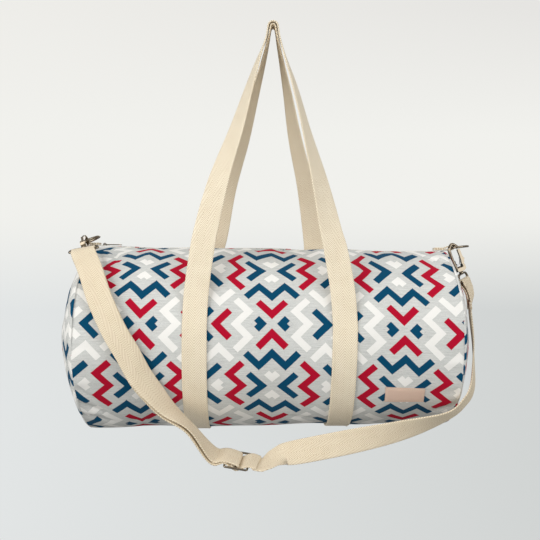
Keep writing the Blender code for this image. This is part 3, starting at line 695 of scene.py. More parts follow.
# Folds in the cloth: from and to, each as x and the run up the barrel, then width and depth
FOLDS = [
    (-0.204, 0.148, -0.188, 0.112, 0.0050, 0.0030), (-0.216, 0.132, -0.204, 0.096, 0.0045, 0.0018),
    (-0.234, -0.078, -0.204, -0.100, 0.0045, 0.0024), (-0.234, -0.100, -0.196, -0.122, 0.0050, 0.0026),
    (-0.234, -0.056, -0.214, -0.074, 0.0040, 0.0018), (-0.180, -0.118, -0.130, -0.126, 0.0050, 0.0014),
    (0.228, 0.120, 0.196, 0.136, 0.0045, 0.0024), (0.229, 0.100, 0.204, 0.112, 0.0040, 0.0018),
    (0.230, -0.090, 0.200, -0.106, 0.0050, 0.0020), (-0.060, 0.150, 0.020, 0.158, 0.0060, 0.0012),
    (0.120, 0.150, 0.180, 0.158, 0.0060, 0.0012), (0.020, -0.112, 0.070, -0.124, 0.0060, 0.0014),
]


def relief(x, angle):
    """How far the cloth stands in or out of the plain barrel, in metres."""
    x = np.asarray(x, dtype=float)
    angle = np.asarray(angle, dtype=float)
    arc_run = angle * MEAN_RADIUS
    soft = 0.0007 * np.sin(38 * x + 21 * arc_run + 0.6)
    soft = soft + 0.0006 * np.sin(61 * x - 34 * arc_run + 2.1)
    soft = soft + 0.0004 * np.sin(-24 * x + 63 * arc_run + 4.0)
    left = np.clip(x - end_reach(END_LEFT, angle), 0, None)
    right = np.clip(end_reach(END_RIGHT, angle) - x, 0, None)
    pucker = 0.0
    for gap, phase in ((left, 0.0), (right, 1.7)):
        ripple = np.sin(27 * angle + phase) + 0.6 * np.sin(43 * angle + 2.3 * phase + 1.0)
        pucker = pucker + 0.0007 * ripple * np.exp(-gap / 0.016) * (1 - np.exp(-gap / 0.003))
        pucker = pucker - 0.0002 * np.exp(-gap / 0.0020)
    for x0, y0, x1, y1, width, depth in FOLDS:
        dx, dy = x1 - x0, y1 - y0
        along = np.clip(((x - x0) * dx + (arc_run - y0) * dy) / (dx ** 2 + dy ** 2), 0, 1)
        near = np.hypot(x - x0 - along * dx, arc_run - y0 - along * dy) / width
        soft = soft - depth * (1.0 - near ** 2) * np.exp(-near ** 2) * np.sin(math.pi * (0.15 + 0.7 * along))
    return soft + pucker


def cloth_point(x, angle, lift=0.0):
    """Points on the bag's cloth, lift metres outside it; arrays are fine."""
    x = np.asarray(x, dtype=float)
    angle = np.asarray(angle, dtype=float)
    reach = radius_at(x) + relief(x, angle) + lift
    return np.stack([
        BAG_X + x + 0 * angle, -reach * np.cos(angle), AXIS_Z + reach * np.sin(angle)
    ], axis=-1)


def rim(first, last, length, depth):
    """A narrow band that closes the gap between two rows of points."""
    run = np.zeros((len(first), 2, 2))
    run[:, :, 0] = np.linspace(0, length, len(first))[:, None]
    run[:, 1, 1] = depth
    return grid("rim", np.stack([first, last], 1), run)


def rims(outer, inner, length, depth):
    """Bands along the four edges of two sheets that lie over one another."""
    edges = [(sheet[:, 0], sheet[:, -1], sheet[0], sheet[-1]) for sheet in (outer, inner)]
    return [rim(first, last, length, depth) for first, last in zip(*edges)]


def barrel_sheet(rows, columns, dense_ends):
    """x and angle over the barrel, from one side of the zip round to the other."""
    opening = ZIP_HALF_OPENING / radius_at(0.0)
    start = math.pi / 2 + opening - 2 * math.pi
    angle = np.linspace(start, math.pi / 2 - opening, columns)[None, :] + np.zeros((rows, 1))
    share = np.linspace(0, 1, rows)[:, None]
    if dense_ends:
        share = 0.5 - 0.5 * np.cos(math.pi * share)
    left = end_reach(END_LEFT, angle) - SEAM_LAP
    return left + (end_reach(END_RIGHT, angle) + SEAM_LAP - left) * share, angle


def barrel_run(x, angle):
    return np.stack([x, angle * PRINT_RADIUS], axis=-1)


def build_barrel(finish, lining):
    x, angle = barrel_sheet(190, 260, True)
    points = cloth_point(x, angle)
    data = grid("barrel_cloth", points, barrel_run(x, angle))
    add_piece("barrel_cloth", data, finish, "bag", "main_panel", slot="printed_cloth")
    data = merged("barrel_rim", rims(points, cloth_point(x, angle, LINING_LIFT - 0.0001), 1.0, CLOTH))
    add_piece("barrel_rim", data, finish, "bag", slot="printed_cloth")
    x, angle = barrel_sheet(40, 90, False)
    data = grid("barrel_lining", cloth_point(x, angle, LINING_LIFT), barrel_run(x, angle))
    add_piece("barrel_lining", data, lining, "bag", slot="printed_cloth")


def end_surface(end, bulge, radius, share, angle, out):
    """Points of a bulging end; share runs from 0 at the middle to 1 at the seam."""
    sign = math.copysign(1.0, end)
    left = 1 - share
    crease = 0.0009 * np.sin(27 * angle + 0.8) * np.exp(-left / 0.10) * (1 - np.exp(-left / 0.03))
    slack = 0.0012 * np.sin(3 * angle + 0.7) + 0.0010 * np.sin(5 * angle + 11 * share + 2.0)
    slack = slack * share * left * 4
    inward = 0.0004 * np.exp(-left * radius / 0.0020)
    reach = radius * share - inward
    x = end - sign * END_PULL * np.sin(angle) ** 2 * share ** 2
    x = x + sign * (SEAM_GAP + out + bulge * (1.0 - share ** BULGE_POWER) + crease + slack)
    return np.stack([BAG_X + x, -reach * np.cos(angle), AXIS_Z + reach * np.sin(angle)], axis=-1)


def build_end(name, node, end, bulge, radius, finish):
    columns = 200
    rows = 60
    angle = np.linspace(0, 2 * math.pi, columns + 1)[None, :] + np.zeros((rows, 1))
    share = np.sin(np.linspace(0.0004, 1, rows) * math.pi / 2)[:, None] + 0 * angle
    points = end_surface(end, bulge, radius, share, angle, CLOTH)
    sign = math.copysign(1.0, end)
    reach = radius * share * END_SPREAD
    run = np.stack([sign * -reach * np.cos(angle), reach * np.sin(angle)], axis=-1)
    outer = grid(name, points[:, :-1], run, closed=True)
    lip = np.concatenate([
        end_surface(end, bulge, radius - roll, share[-1:], angle[-1:], out)
        for roll, out in ((0.0, CLOTH), (-0.0004, CLOTH * 0.8), (-0.0005, CLOTH * 0.5), (-0.0003, 0.0004))
    ])
    lip_run = run[-1:] * (1.0 + np.array([0.0, 0.006, 0.014, 0.022])[:, None, None])
    edge = grid(name + "_lip", lip[:, :-1], lip_run, closed=True)
    back = end_surface(end, bulge, radius, share[::3], angle[::3], 0.0005)
    inner = grid(name + "_in", back[:, :-1], run[::3], closed=True)
    add_piece(name, merged(name, [outer, edge, inner]), finish, "bag", node, slot="printed_cloth")


# Handles
# The free strands: distance before or behind the hook and height, at each row from the barrel up
STRAND_LEVELS = (
    (0.1075, -0.3450), (0.0985, -0.2960), (0.0915, -0.2690), (0.0765, -0.2063),
    (0.0530, -0.1409), (0.0325, -0.0829), (0.0170, -0.0442), (0.0030, -0.0165),
)
# The same rows of each strand: x, and how far the webbing is turned there, in degrees
FRONT_LEFT = (
    (-0.0887, 0), (-0.0826, 2), (-0.0780, 6), (-0.0631, 27), (-0.0424, 50), (-0.0262, 68), (-0.0150, 79),
    (-0.0056, 88),
)
FRONT_RIGHT = (
    (0.0877, 180), (0.0800, 170), (0.0739, 158), (0.0610, 134), (0.0457, 112), (0.0318, 104), (0.0206, 97),
    (0.0134, 92),
)
BACK_LEFT = (
    (-0.0845, 0), (-0.0805, 2), (-0.0740, 8), (-0.0600, 30), (-0.0375, 54), (-0.0205, 72), (-0.0092, 83),
    (-0.0020, 89),
)
BACK_RIGHT = (
    (0.0680, 178), (0.0635, 168), (0.0605, 158), (0.0500, 140), (0.0345, 124), (0.0238, 108), (0.0158, 97),
    (0.0098, 91),
)


def strand(places, bow=0.0):
    """Rows of x, distance, z and turn up one strand; bow stands the third row further out."""
    rows = [(x, depth, z, turn) for (x, turn), (depth, z) in zip(places, STRAND_LEVELS)]
    x, depth, z, turn = rows[2]
    rows[2] = (x, depth + bow, z, turn)
    return rows


def sewn_runs(front):
    """Both sewn runs of a handle: x under the base, x at their top, and their turn in degrees."""
    shift = 0.0 if front else HANDLE_BACK_SHIFT
    return (
        (HANDLE_BASE_LEFT, -HANDLE_X - shift * 0.25, 0.0), (HANDLE_BASE_RIGHT, HANDLE_X + shift, 180.0),
    )


def sewn_x(base_x, top_x, degrees):
    return base_x + (top_x - base_x) * (degrees + 90.0) / (SEWN_TOP + 90.0)


def handle_rows(front):
    """Rows of x, distance before or behind the hook, z and turn, from base to base."""
    bend = HOOK_RADIUS + WEB_THICKNESS / 2 + (WEB_THICKNESS + 5 * RUN_GAP if front else 0.0)
    left = strand(FRONT_LEFT if front else BACK_LEFT)
    right = strand(FRONT_RIGHT) if front else strand(BACK_RIGHT, 0.006)
    crown = [(x, 0.0, z, 90) for x, z in arc((HOOK_X, -HOOK_RADIUS), bend, 165, 15, 10)]
    degrees = np.linspace(-89.0, SEWN_TOP, 25)
    ends = []
    for base_x, top_x, turn in sewn_runs(front):
        x = sewn_x(base_x, top_x, degrees)
        points = cloth_point(x, np.radians(degrees), WEB_LIFT + WEB_THICKNESS / 2)
        ends.append([(p[0] - BAG_X, -p[1], p[2], turn) for p in points])
    return ends[0] + left + crown + right[::-1] + ends[1][::-1]


def outwards(angle):
    """Directions straight out of the barrel."""
    return np.stack([0 * angle, -np.cos(angle), np.sin(angle)], 1)


def build_handle(name, node, front, finish, thread):
    side = -1.0 if front else 1.0
    samples = evenly(smooth_path(handle_rows(front), 0.003), 0.003)
    turn = np.radians(samples[:, 3])
    places = np.stack([BAG_X + samples[:, 0], side * samples[:, 1], samples[:, 2]], 1)
    across = np.stack([np.cos(turn), side * np.sin(turn), 0 * turn], 1)
    data = strip(name, places, across if front else -across, WEB_THICKNESS * WEB_SLIM, WEB_WIDTH)
    add_piece(name, data, finish, "bag", node, slot="webbing")
    inset = WEB_WIDTH / 2 - 0.0022
    rows = []
    for base_x, top_x, _ in sewn_runs(front):
        degrees = np.linspace(-88.0, SEWN_TOP - 1.0, 60)
        lines = [(sewn_x(base_x, top_x, degrees) + edge * inset, degrees) for edge in (-1.0, 1.0)]
        x = top_x + np.linspace(-1, 1, 30) * inset
        lines.append((x, SEWN_TOP - 2.0 + 0 * x))
        for x, degrees in lines:
            angle = np.radians(degrees if front else 180.0 - degrees)
            low = cloth_point(x, angle, WEB_LIFT + WEB_THICKNESS)
            rows.append(stitches(low, outwards(angle), *HANDLE_STITCH))
    add_piece(name + "_stitching", merged(name + "_stitching", rows), thread, "bag", slot="webbing")


# Rings, hooks and the shoulder strap
def ring_frame(bar, sign, tilt):
    across = Vector((sign * math.cos(tilt), 0.0, math.sin(tilt)))
    along = Vector((0.0, 1.0, 0.0))
    matrix = Matrix((across, along, across.cross(along))).transposed().to_4x4()
    matrix.translation = Vector((BAG_X, 0.0, 0.0)) + bar
    return matrix


def hook_frames():
    left_ring = ring_frame(BAR_LEFT, 1.0, RING_TILT_LEFT)
    right_ring = ring_frame(BAR_RIGHT, 1.0, RING_TILT_RIGHT)
    left_seat = left_ring @ Vector((0.0075, -RING_HALF, 0.0))
    bend = math.radians(20.0)
    right_seat = right_ring @ Vector((
        RING_CORNER * (1 - math.cos(bend)), -RING_HALF + RING_CORNER - RING_CORNER * math.sin(bend), 0.0,
    ))
    return {
        "left": make_hook_frames(
            left_seat, Vector((-0.104, 0.945, 0.30)), Vector((0.927, 0.0, 0.375)), Vector((0.98, 0.0, 0.17))
        ),
        "right": make_hook_frames(
            right_seat, Vector((-0.33, 0.0, 0.944)), Vector((-math.sin(bend), math.cos(bend), 0.0)),
            Vector((0.55, 0.80, -0.23)),
        ),
    }


def make_hook_frames(seat, along, through, bar):
    along = along.normalized()
    through = (through - along * through.dot(along)).normalized()
    claw = Matrix((through.cross(along), through, along)).transposed().to_4x4()
    claw.translation = seat - along * CLAW_SEAT
    bar = (bar - along * bar.dot(along)).normalized()
    eye = Matrix((bar, along.cross(bar), along)).transposed().to_4x4()
    eye.translation = claw.translation
    return claw, eye


def build_ring(side, matrix, metal):
    bow = RING_HALF
    outline = arc((RING_CORNER, -RING_HALF + RING_CORNER), RING_CORNER, 180, 270, 10)
    outline += arc((RING_DEPTH - bow, 0.0), bow, -90, 90, 36)
    outline += arc((RING_CORNER, RING_HALF - RING_CORNER), RING_CORNER, 90, 180, 10)
    outline += [(0.0, RING_HALF - RING_CORNER - t) for t in (0.004, 0.008, 0.0115, 0.015, 0.019)]
    data = tube("ring", [(x, y, 0.0) for x, y in outline], RING_WIRE, (0, 0, 1), 16)
    add_piece(f"ring_{side}", placed(data, matrix), metal, f"d_ring_{side}", f"d_ring_{side}", slot="nickel")


def build_tab(side, bar, sign, finish, thread):
    turn = RING_WIRE + RUN_GAP + TAB_THICKNESS / 2
    low = -turn
    high = low + TAB_THICKNESS + RUN_GAP
    rows = [(-TAB_REACH, low), (-0.012, low), (-0.003, low)]
    rows += arc((0.0, 0.0), turn, -90, 120, 12)
    rows += [(-0.006, (turn + high) / 2), (-0.010, high), (-TAB_REACH, high)]
    path = smooth_path(rows, 0.0012)
    places = [(BAG_X + bar.x + sign * x, 0.0, bar.z + z) for x, z in path]
    across = [(0.0, 1.0, 0.0)] * len(places)
    name = f"tab_{side}"
    data = strip(name, places, across, TAB_THICKNESS * WEB_SLIM, TAB_WIDTH)
    add_piece(name, data, finish, "bag", f"ring_tab_{side}", slot="webbing")
    lift = bar.z + high + TAB_THICKNESS / 2
    near, far, edge = 0.0105, TAB_REACH - 0.0015, TAB_WIDTH / 2 - 0.0018
    corners = [(near, -edge), (far, -edge), (far, edge), (near, edge), (near, -edge), (far, edge)]
    corners = [corners, [(near, edge), (far, -edge)]]
    rows = []
    for line in corners:
        places = [(BAG_X + bar.x - sign * x, y, lift) for x, y in line]
        for first, last in zip(places, places[1:]):
            run = np.linspace(first, last, 12)
            rows.append(stitches(run, np.tile((0.0, 0.0, 1.0), (12, 1)), *TAB_STITCH))
    add_piece(name + "_stitching", merged(name + "_stitching", rows), thread, "bag", slot="webbing")


def rounded(piece, width, segments=3, angle=35.0):
    """Rounds the edges of a piece and keeps its flats flat."""
    bevel = piece.modifiers.new("edges", "BEVEL")
    bevel.width = width
    bevel.segments = segments
    bevel.limit_method = "ANGLE"
    bevel.angle_limit = math.radians(angle)
    bevel.harden_normals = False


def prism_mesh(name, outline, half_depth, axis="y"):
    data = bpy.data.meshes.new(name)
    build = bmesh.new()
    rings = []
    for depth in (-half_depth, half_depth):
        rings.append([
            build.verts.new((x, depth, z) if axis == "y" else (x, z, depth)) for x, z in outline
        ])
    build.faces.new(rings[0])
    build.faces.new(rings[1])
    for i in range(len(outline)):
        j = (i + 1) % len(outline)
        build.faces.new((rings[0][i], rings[0][j], rings[1][j], rings[1][i]))
    bmesh.ops.recalc_face_normals(build, faces=build.faces)
    build.to_mesh(data)
    build.free()
    return data


def cut(piece, cutter):
    """Cuts one closed mesh out of a piece for good."""
    helper = bpy.data.objects.new("cutter", cutter)
    bpy.context.scene.collection.objects.link(helper)
    change = piece.modifiers.new("cut", "BOOLEAN")
    change.object = helper
    change.solver = "EXACT"
    graph = bpy.context.evaluated_depsgraph_get()
    result = bpy.data.meshes.new_from_object(piece.evaluated_get(graph))
    piece.modifiers.clear()
    piece.data = result
    bpy.data.objects.remove(helper, do_unlink=True)


def turned(name, points, rows, side_axis, sides):
    """A turned pin or post along points; each row ends with its radius there."""
    return tube(name, points, [row[-1] for row in rows], side_axis, sides, closed=False)


def build_claw(side, claw, metal):
    """The claw's bent finger, thinner towards its tip."""
    rows = [
        (-0.0036, 0.0, 0.0020), (-0.0052, 0.0, 0.0070), (-0.0064, 0.0, 0.0150), (-0.0066, 0.0, 0.0260),
        (-0.0054, 0.0, 0.0325), (0.0, 0.0, 0.0370), (0.0052, 0.0, 0.0330), (0.0064, 0.0, 0.0296),
    ]
    path = smooth_path(rows, 0.0008)
    share = np.linspace(0, 1, len(path))
    radius = CLAW_WIDTH / 2 * np.where(share > 0.93, 1.0 - 0.35 * (share - 0.93) / 0.07, 1.0)
    data = tube("claw", path, radius, (0, 1, 0), 20, closed=False, flat=CLAW_DEPTH / CLAW_WIDTH)
    add_piece(f"claw_{side}", placed(data, claw), metal, f"hook_{side}", f"hook_body_{side}", slot="nickel")


def build_claw_base(side, claw, metal):
    """The claw's base, slotted for the gate and bored for the eye's post."""
    base = [
        (-0.0055, 0.0010), (-0.0042, 0.0), (0.0042, 0.0), (0.0072, 0.0022), (0.0074, 0.0072),
        (0.0062, 0.0086), (0.0040, 0.0086), (0.0038, 0.0048), (-0.0055, 0.0048),
    ]
    data = placed(prism_mesh("claw_base", base, 0.0034), claw)
    body = add_piece(f"claw_base_{side}", data, metal, f"hook_{side}", slot="nickel")
    slot = [(0.0031, 0.0046), (0.0100, 0.0036), (0.0100, 0.0100), (0.0031, 0.0100)]
    cut(body, placed(prism_mesh("slot", slot, GATE_DEPTH / 2 + RUN_GAP), claw))
    bore = arc((0, 0), POST_RADIUS + 0.0001, 0, 337.5, 15)
    cut(body, placed(prism_mesh("bore", bore, 0.008, axis="z"), claw))
    body.data.shade_smooth()
    body.data.set_sharp_from_angle(angle=math.radians(CAST_SHARP))
    rounded(body, 0.0006)


def build_gate(side, claw, metal):
    """The sprung gate and the pin that it turns on."""
    x0, z0 = GATE_PIVOT
    gate = [
        (x0 + 0.0017, z0 + 0.0006), (0.0088, 0.0118), (0.0106, 0.0150), (0.0092, 0.0168), (0.0086, 0.0200),
        (0.0083, 0.0285), (0.0048, 0.0285), (0.0051, 0.0200), (0.0049, 0.0130), (x0 - 0.0016, z0 + 0.0010),
    ]
    gate += arc(GATE_PIVOT, 0.0017, 160, 380, 12)
    data = placed(prism_mesh("gate", gate, GATE_DEPTH / 2), claw)
    body, node = f"gate_{side}", f"hook_gate_{side}"
    lever = add_piece(f"gate_{side}", data, metal, body, node, slot="nickel", smooth=CAST_SHARP)
    rounded(lever, 0.00045)
    rows = [(-0.00345, 0.0005), (-0.0033, PIN_RADIUS), (0.0033, PIN_RADIUS), (0.00345, 0.0005)]
    data = placed(turned("pin", [(x0, y, z0) for y, _ in rows], rows, (0, 0, 1), 16), claw)
    add_piece(f"pin_{side}", data, metal, f"hook_{side}", f"gate_pin_{side}", slot="nickel", smooth=50.0)


def build_leaf(side, claw, steel):
    """The leaf spring behind the gate: a bent strip between claw and gate."""
    foot, tip = (-0.0014, 0.0, 0.0088), (0.0043, 0.0, 0.0180)
    leaf = smooth_path([
        (-0.0034, 0.0, 0.0150), (-0.0034, 0.0, 0.0112), foot, (0.0014, 0.0, 0.0098), (0.0036, 0.0, 0.0140), tip,
    ], 0.0008)
    data = placed(strip("leaf", leaf, [(0.0, 1.0, 0.0)] * len(leaf), 0.0004, 0.0022), claw)
    piece = add_piece(f"leaf_{side}", data, steel, None, f"gate_spring_{side}", slot="nickel")
    claw @ Vector(foot)
    claw @ Vector(tip)
    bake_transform(piece)


def build_eye(side, eye, metal):
    """The swivel eye: a wire loop for the strap on a turned post."""
    foot, shoulder = 0.002, 0.0075
    outline = arc((-EYE_HALF + foot, -EYE_DROP + foot), foot, 180, 270, 6)
    outline += [(x, -EYE_DROP) for x in np.linspace(-EYE_HALF + 0.006, EYE_HALF - 0.006, 7)]
    outline += arc((EYE_HALF - foot, -EYE_DROP + foot), foot, 270, 360, 6)
    outline += arc((EYE_HALF - shoulder, -0.0107), shoulder, 10, 75, 10)
    outline += [(EYE_HALF - shoulder + 0.0015, -0.0031), (0.004, -0.0030), (-0.004, -0.0030)]
    outline += arc((-EYE_HALF + shoulder, -0.0107), shoulder, 105, 170, 10)
    loop = tube("eye", [(x, 0.0, z) for x, z in outline], EYE_WIRE, (0, 1, 0), 16)
    rows = [
        (-0.0046, 0.0012), (-0.0040, 0.0023), (-0.0030, 0.0030), (-0.0016, 0.0031), (-0.0004, 0.0026),
        (-0.0003, POST_RADIUS), (0.0051, POST_RADIUS), (0.0052, 0.0023), (0.0062, 0.0022), (0.0068, 0.0012),
    ]
    post = turned("post", [(0.0, 0.0, z) for z, _ in rows], rows, (0, 1, 0), 24)
    data = placed(merged(f"eye_{side}", [loop, post]), eye)
    add_piece(f"eye_{side}", data, metal, "bag", f"hook_eye_{side}", slot="nickel", smooth=60.0)


def barrel_point(x, angle, lift):
    reach = radius_at(x) + lift
    return Vector((BAG_X + x, -reach * math.cos(angle), AXIS_Z + reach * math.sin(angle)))


def strap_route(frames):
    """Middle line of the shoulder strap from the left eye's bar to the right one's."""
    down_left = [
        (END_LEFT + 0.0180, 42.0, 0.0110, (0.94, 0.0, 0.30)),
        (END_LEFT + 0.0330, 24.0, 0.0085, (0.92, 0.0, 0.36)),
        (END_LEFT + 0.0510, 7.0, 0.0080, (0.90, 0.0, 0.44)),
        (END_LEFT + 0.0678, -6.0, 0.0085, (0.88, 0.1, 0.45)),
        (END_LEFT + 0.0815, -17.9, 0.0110, (0.75, 0.35, 0.5)),
        (END_LEFT + 0.0982, -27.9, 0.0160, (0.6, 0.65, 0.45)),
        (END_LEFT + 0.1135, -35.3, 0.0225, (0.4, 0.85, 0.35)),
        (END_LEFT + 0.1400, -43.5, 0.0340, (0.12, 0.98, 0.05)),
    ]
    up_right = [
        (0.0100, -53.8, 0.0560, (0.0, 0.75, 0.66)),
        (0.0364, -53.1, 0.0518, (-0.05, 0.35, 0.94)),
        (0.0970, -50.8, 0.0430, (-0.1, 0.0, 0.98)),
        (0.1577, -48.2, 0.0330, (-0.2, -0.45, 0.87)),
        (END_RIGHT - 0.0208, -44.0, 0.0215, (-0.25, -0.86, 0.44)),
        (END_RIGHT + 0.0030, -40.0, 0.0075, (-0.38, -0.90, 0.22)),
        (END_RIGHT + 0.0175, -35.0, -0.0165, (-0.33, -0.92, 0.18)),
        (END_RIGHT + 0.0262, -14.4, -0.0700, (-0.16, -0.98, 0.0)),
        (END_RIGHT + 0.0232, 52.0, -0.0630, (-0.12, -0.99, 0.0)),
    ]

    def place(row):
        x, degrees, gap, side = row
        return (*barrel_point(x, math.radians(degrees), gap), *side)

    def eye_rows(matrix, sign):
        side = matrix.to_3x3() @ Vector((sign, 0.0, 0.0))
        return [(*(matrix @ Vector((0.0, 0.0, -EYE_DROP - reach))), *side) for reach in (0.0, 0.005, 0.010)]

    middle = barrel_point(GLIDE_X, GLIDE_ANGLE, GLIDE_GAP)
    glide = [
        (*(middle + GLIDE_TANGENT * reach), *GLIDE_ACROSS) for reach in np.arange(-2, 3) * GLIDE_STRAIGHT
    ]
    rows = eye_rows(frames["left"][1], 1.0) + [place(row) for row in down_left] + glide
    rows += [place(row) for row in up_right] + eye_rows(frames["right"][1], -1.0)[::-1]
    samples = smooth_path(rows, 0.002)
    lengths = lengths_along(samples[:, :3])
    gaps = np.linalg.norm(samples[:, :3] - np.array(middle), axis=1)
    return samples, lengths, float(lengths[int(np.argmin(gaps))])


def route_frame(route, s):
    samples, lengths, _ = route
    total = lengths[-1]
    inside = min(max(s, 0.0), total)

    def read(at):
        return np.array([np.interp(at, lengths, samples[:, k]) for k in range(6)])

    here = read(inside)
    step = 0.004
    tangent = Vector(read(min(inside + step, total))[:3] - read(max(inside - step, 0.0))[:3]).normalized()
    side = Vector(here[3:])
    side = (side - tangent * side.dot(tangent)).normalized()
    return Vector(here[:3]) + tangent * (s - inside), tangent, side, tangent.cross(side)


# The strap's middle line beside an eye's bar and the adjuster's bar, and at its sewn end
EYE_FOLD = EYE_WIRE + RUN_GAP + WEB_THICKNESS / 2
GLIDE_FOLD = GLIDE_WIRE + RUN_GAP + WEB_THICKNESS / 2
STRAP_PITCH = WEB_THICKNESS + RUN_GAP
STRAP_SEWN = STRAP_PITCH / 2 + 0.0002


def strap_rows(glide, total):
    """Distance along the route and height over it, from the adjuster's bar to the sewn end."""
    bar, slim, pitch = EYE_FOLD, GLIDE_FOLD, STRAP_PITCH
    end = GLIDE_HALF_LENGTH
    double = 0.0022
    rows = [(glide - 0.0062, -0.0010), (glide - 0.0034, 0.0012)]
    rows += [(glide + x, y) for x, y in arc((0, 0), slim, 100, -100, 8)]
    rows += [
        (glide - 0.0055, -slim - 0.0014), (glide - end, -slim - pitch), (glide - end - 0.010, -0.0042),
        (glide - FOLLOW_FAR, -double), (glide - 0.150, -double), (0.050, -0.0018), (0.010, -bar),
    ]
    rows += arc((0, 0), bar, -90, -270, 8)
    rows += [
        (0.010, bar), (0.050, 0.0018), (glide - 0.150, double), (glide - FOLLOW_FAR, double),
        (glide - end - 0.010, -0.0006), (glide - end, -slim), (glide - 0.0052, 0.0024),
        (glide, slim + pitch), (glide + 0.0052, 0.0024), (glide + end, -slim - 0.0002),
        (glide + end + 0.010, -slim), (glide + FOLLOW_FAR, 0.0),
    ]
    rows = [(s, -height) for s, height in rows]
    rows += [(total - 0.070, 0.0), (total - 0.045, STRAP_SEWN), (total - 0.010, bar)]
    rows += [(total + x, y) for x, y in arc((0, 0), bar, 90, -90, 8)]
    return rows + [(total - 0.010, -bar), (total - 0.025, -STRAP_SEWN), (total - 0.036, -STRAP_SEWN)]


def build_strap(route, finish, thread):
    """One length of webbing, folded round both eyes and the adjuster's middle bar."""
    _, lengths, glide = route
    total = lengths[-1]
    path = smooth_path(strap_rows(glide, total), 0.003)
    places, across = [], []
    for s, height in path:
        place, _, side, out = route_frame(route, s)
        places.append(place + out * height)
        across.append(side)
    # Two stretches that meet over the adjuster's middle bar
    over = [abs(s - glide) + 10 * abs(height + GLIDE_FOLD + STRAP_PITCH) for s, height in path]
    split = over.index(min(over))
    place, tangent = route_frame(route, glide)[:2]
    near, far = tangent * FOLLOW_NEAR, tangent * FOLLOW_FAR
    slim = WEB_THICKNESS * WEB_SLIM
    data = strip("strap_doubled", places[:split + 1], across[:split + 1], slim, WEB_WIDTH)
    doubled = add_piece("strap_doubled", data, finish, None, "shoulder_strap", slot="webbing")
    place - far
    place - near
    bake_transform(doubled)
    run = float(lengths_along(places[:split + 1])[-1])
    data = strip("strap_single", places[split:], across[split:], slim, WEB_WIDTH, run)
    single = add_piece("strap_single", data, finish, None, slot="webbing")
    place + near
    place + far
    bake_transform(single)
    parts = []
    for distance in (total - 0.030, total - 0.034):
        place, _, side, out = route_frame(route, distance)
        lift = STRAP_SEWN + WEB_THICKNESS / 2
        for level, up in ((lift, out), (-lift, -out)):
            run = [place + side * (WEB_WIDTH * t) + out * level for t in np.linspace(-0.43, 0.43, 20)]
            parts.append(stitches(run, [tuple(up)] * 20, *STRAP_STITCH))
    add_piece("strap_stitching", merged("strap_stitching", parts), thread, "bag", slot="webbing")


def build_adjuster(route, metal):
    place, tangent, side, out = route_frame(route, route[2])
    matrix = Matrix((tangent, side, out)).transposed().to_4x4()
    matrix.translation = place
    corner = 0.002
    outline = []
    for sx, sy, start in ((1, 1, 0), (-1, 1, 90), (-1, -1, 180), (1, -1, 270)):
        centre = (sx * (GLIDE_HALF_LENGTH - corner), sy * (GLIDE_HALF_WIDTH - corner))
        outline += arc(centre, corner, start, start + 90, 8)
        if sx == sy:
            outline += [(t * GLIDE_HALF_LENGTH * 0.7, sy * GLIDE_HALF_WIDTH) for t in (sx * 0.33, -sx * 0.33)]
    frame_wire = tube("wire", [(x, y, 0.0) for x, y in outline], GLIDE_WIRE, (0, 0, 1), 16)
    places = [(0.0, t * GLIDE_HALF_WIDTH, 0.0) for t in (-1, -0.5, 0, 0.5, 1)]
    bar = tube("bar", places, GLIDE_WIRE * 0.96, (0, 0, 1), 16, closed=False)
    data = placed(merged("adjuster", [frame_wire, bar]), matrix)
    add_piece("adjuster", data, metal, "tri_glide", "tri_glide", slot="nickel", smooth=60.0)


# Zip and label
def zip_level(x):
    return AXIS_Z + radius_at(x) - CLOTH - SEAM_GAP


def build_tape(name, node, side, left, right, cloth):
    x = np.linspace(left, right, 120)
    out = np.linspace(0.0005, ZIP_HALF_OPENING + TAPE_UNDERLAP, 14)[None, :]
    radius = radius_at(x)[:, None]
    drop = radius - np.sqrt(radius ** 2 - out ** 2)
    sheets = []
    for lift in (0.0, -0.0010):
        level = zip_level(x)[:, None] + lift - drop
        sheets.append(np.stack([BAG_X + x[:, None] + 0 * drop, side * out + 0 * drop, level], -1))
    ring = np.concatenate([sheets[0], sheets[1][:, ::-1]], axis=1)
    run = np.zeros((len(x), ring.shape[1] + 1, 2))
    run[:, :-1, 0] = ring[:, :, 1]
    run[:, -1, 0] = ring[:, 0, 1]
    run[:, :, 1] = x[:, None]
    add_piece(name, grid(name, ring, run, closed=True, caps=True), cloth, "bag", node, slot="zip_tape")


def build_coil(name, side, left, right, finish):
    pitch = 0.0016
    path = []
    for k in range(int((right - left - 0.012) / pitch)):
        for t in np.linspace(0, 1, 8, endpoint=False):
            a = 2 * math.pi * t
            wide = 0.0023 + 0.0018 * math.cos(a)
            path.append((left + 0.006 + (k + t) * pitch, side * wide, 0.0010 + 0.0009 * math.sin(a)))
    path = np.array(path)
    path[:, 2] += zip_level(path[:, 0])
    path[:, 0] += BAG_X
    wire = tube(name + "_coil", path, 0.00036, (1, 0, 0), 6, closed=False)
    add_piece(name + "_coil", wire, finish, "bag", slot="zip_tape")


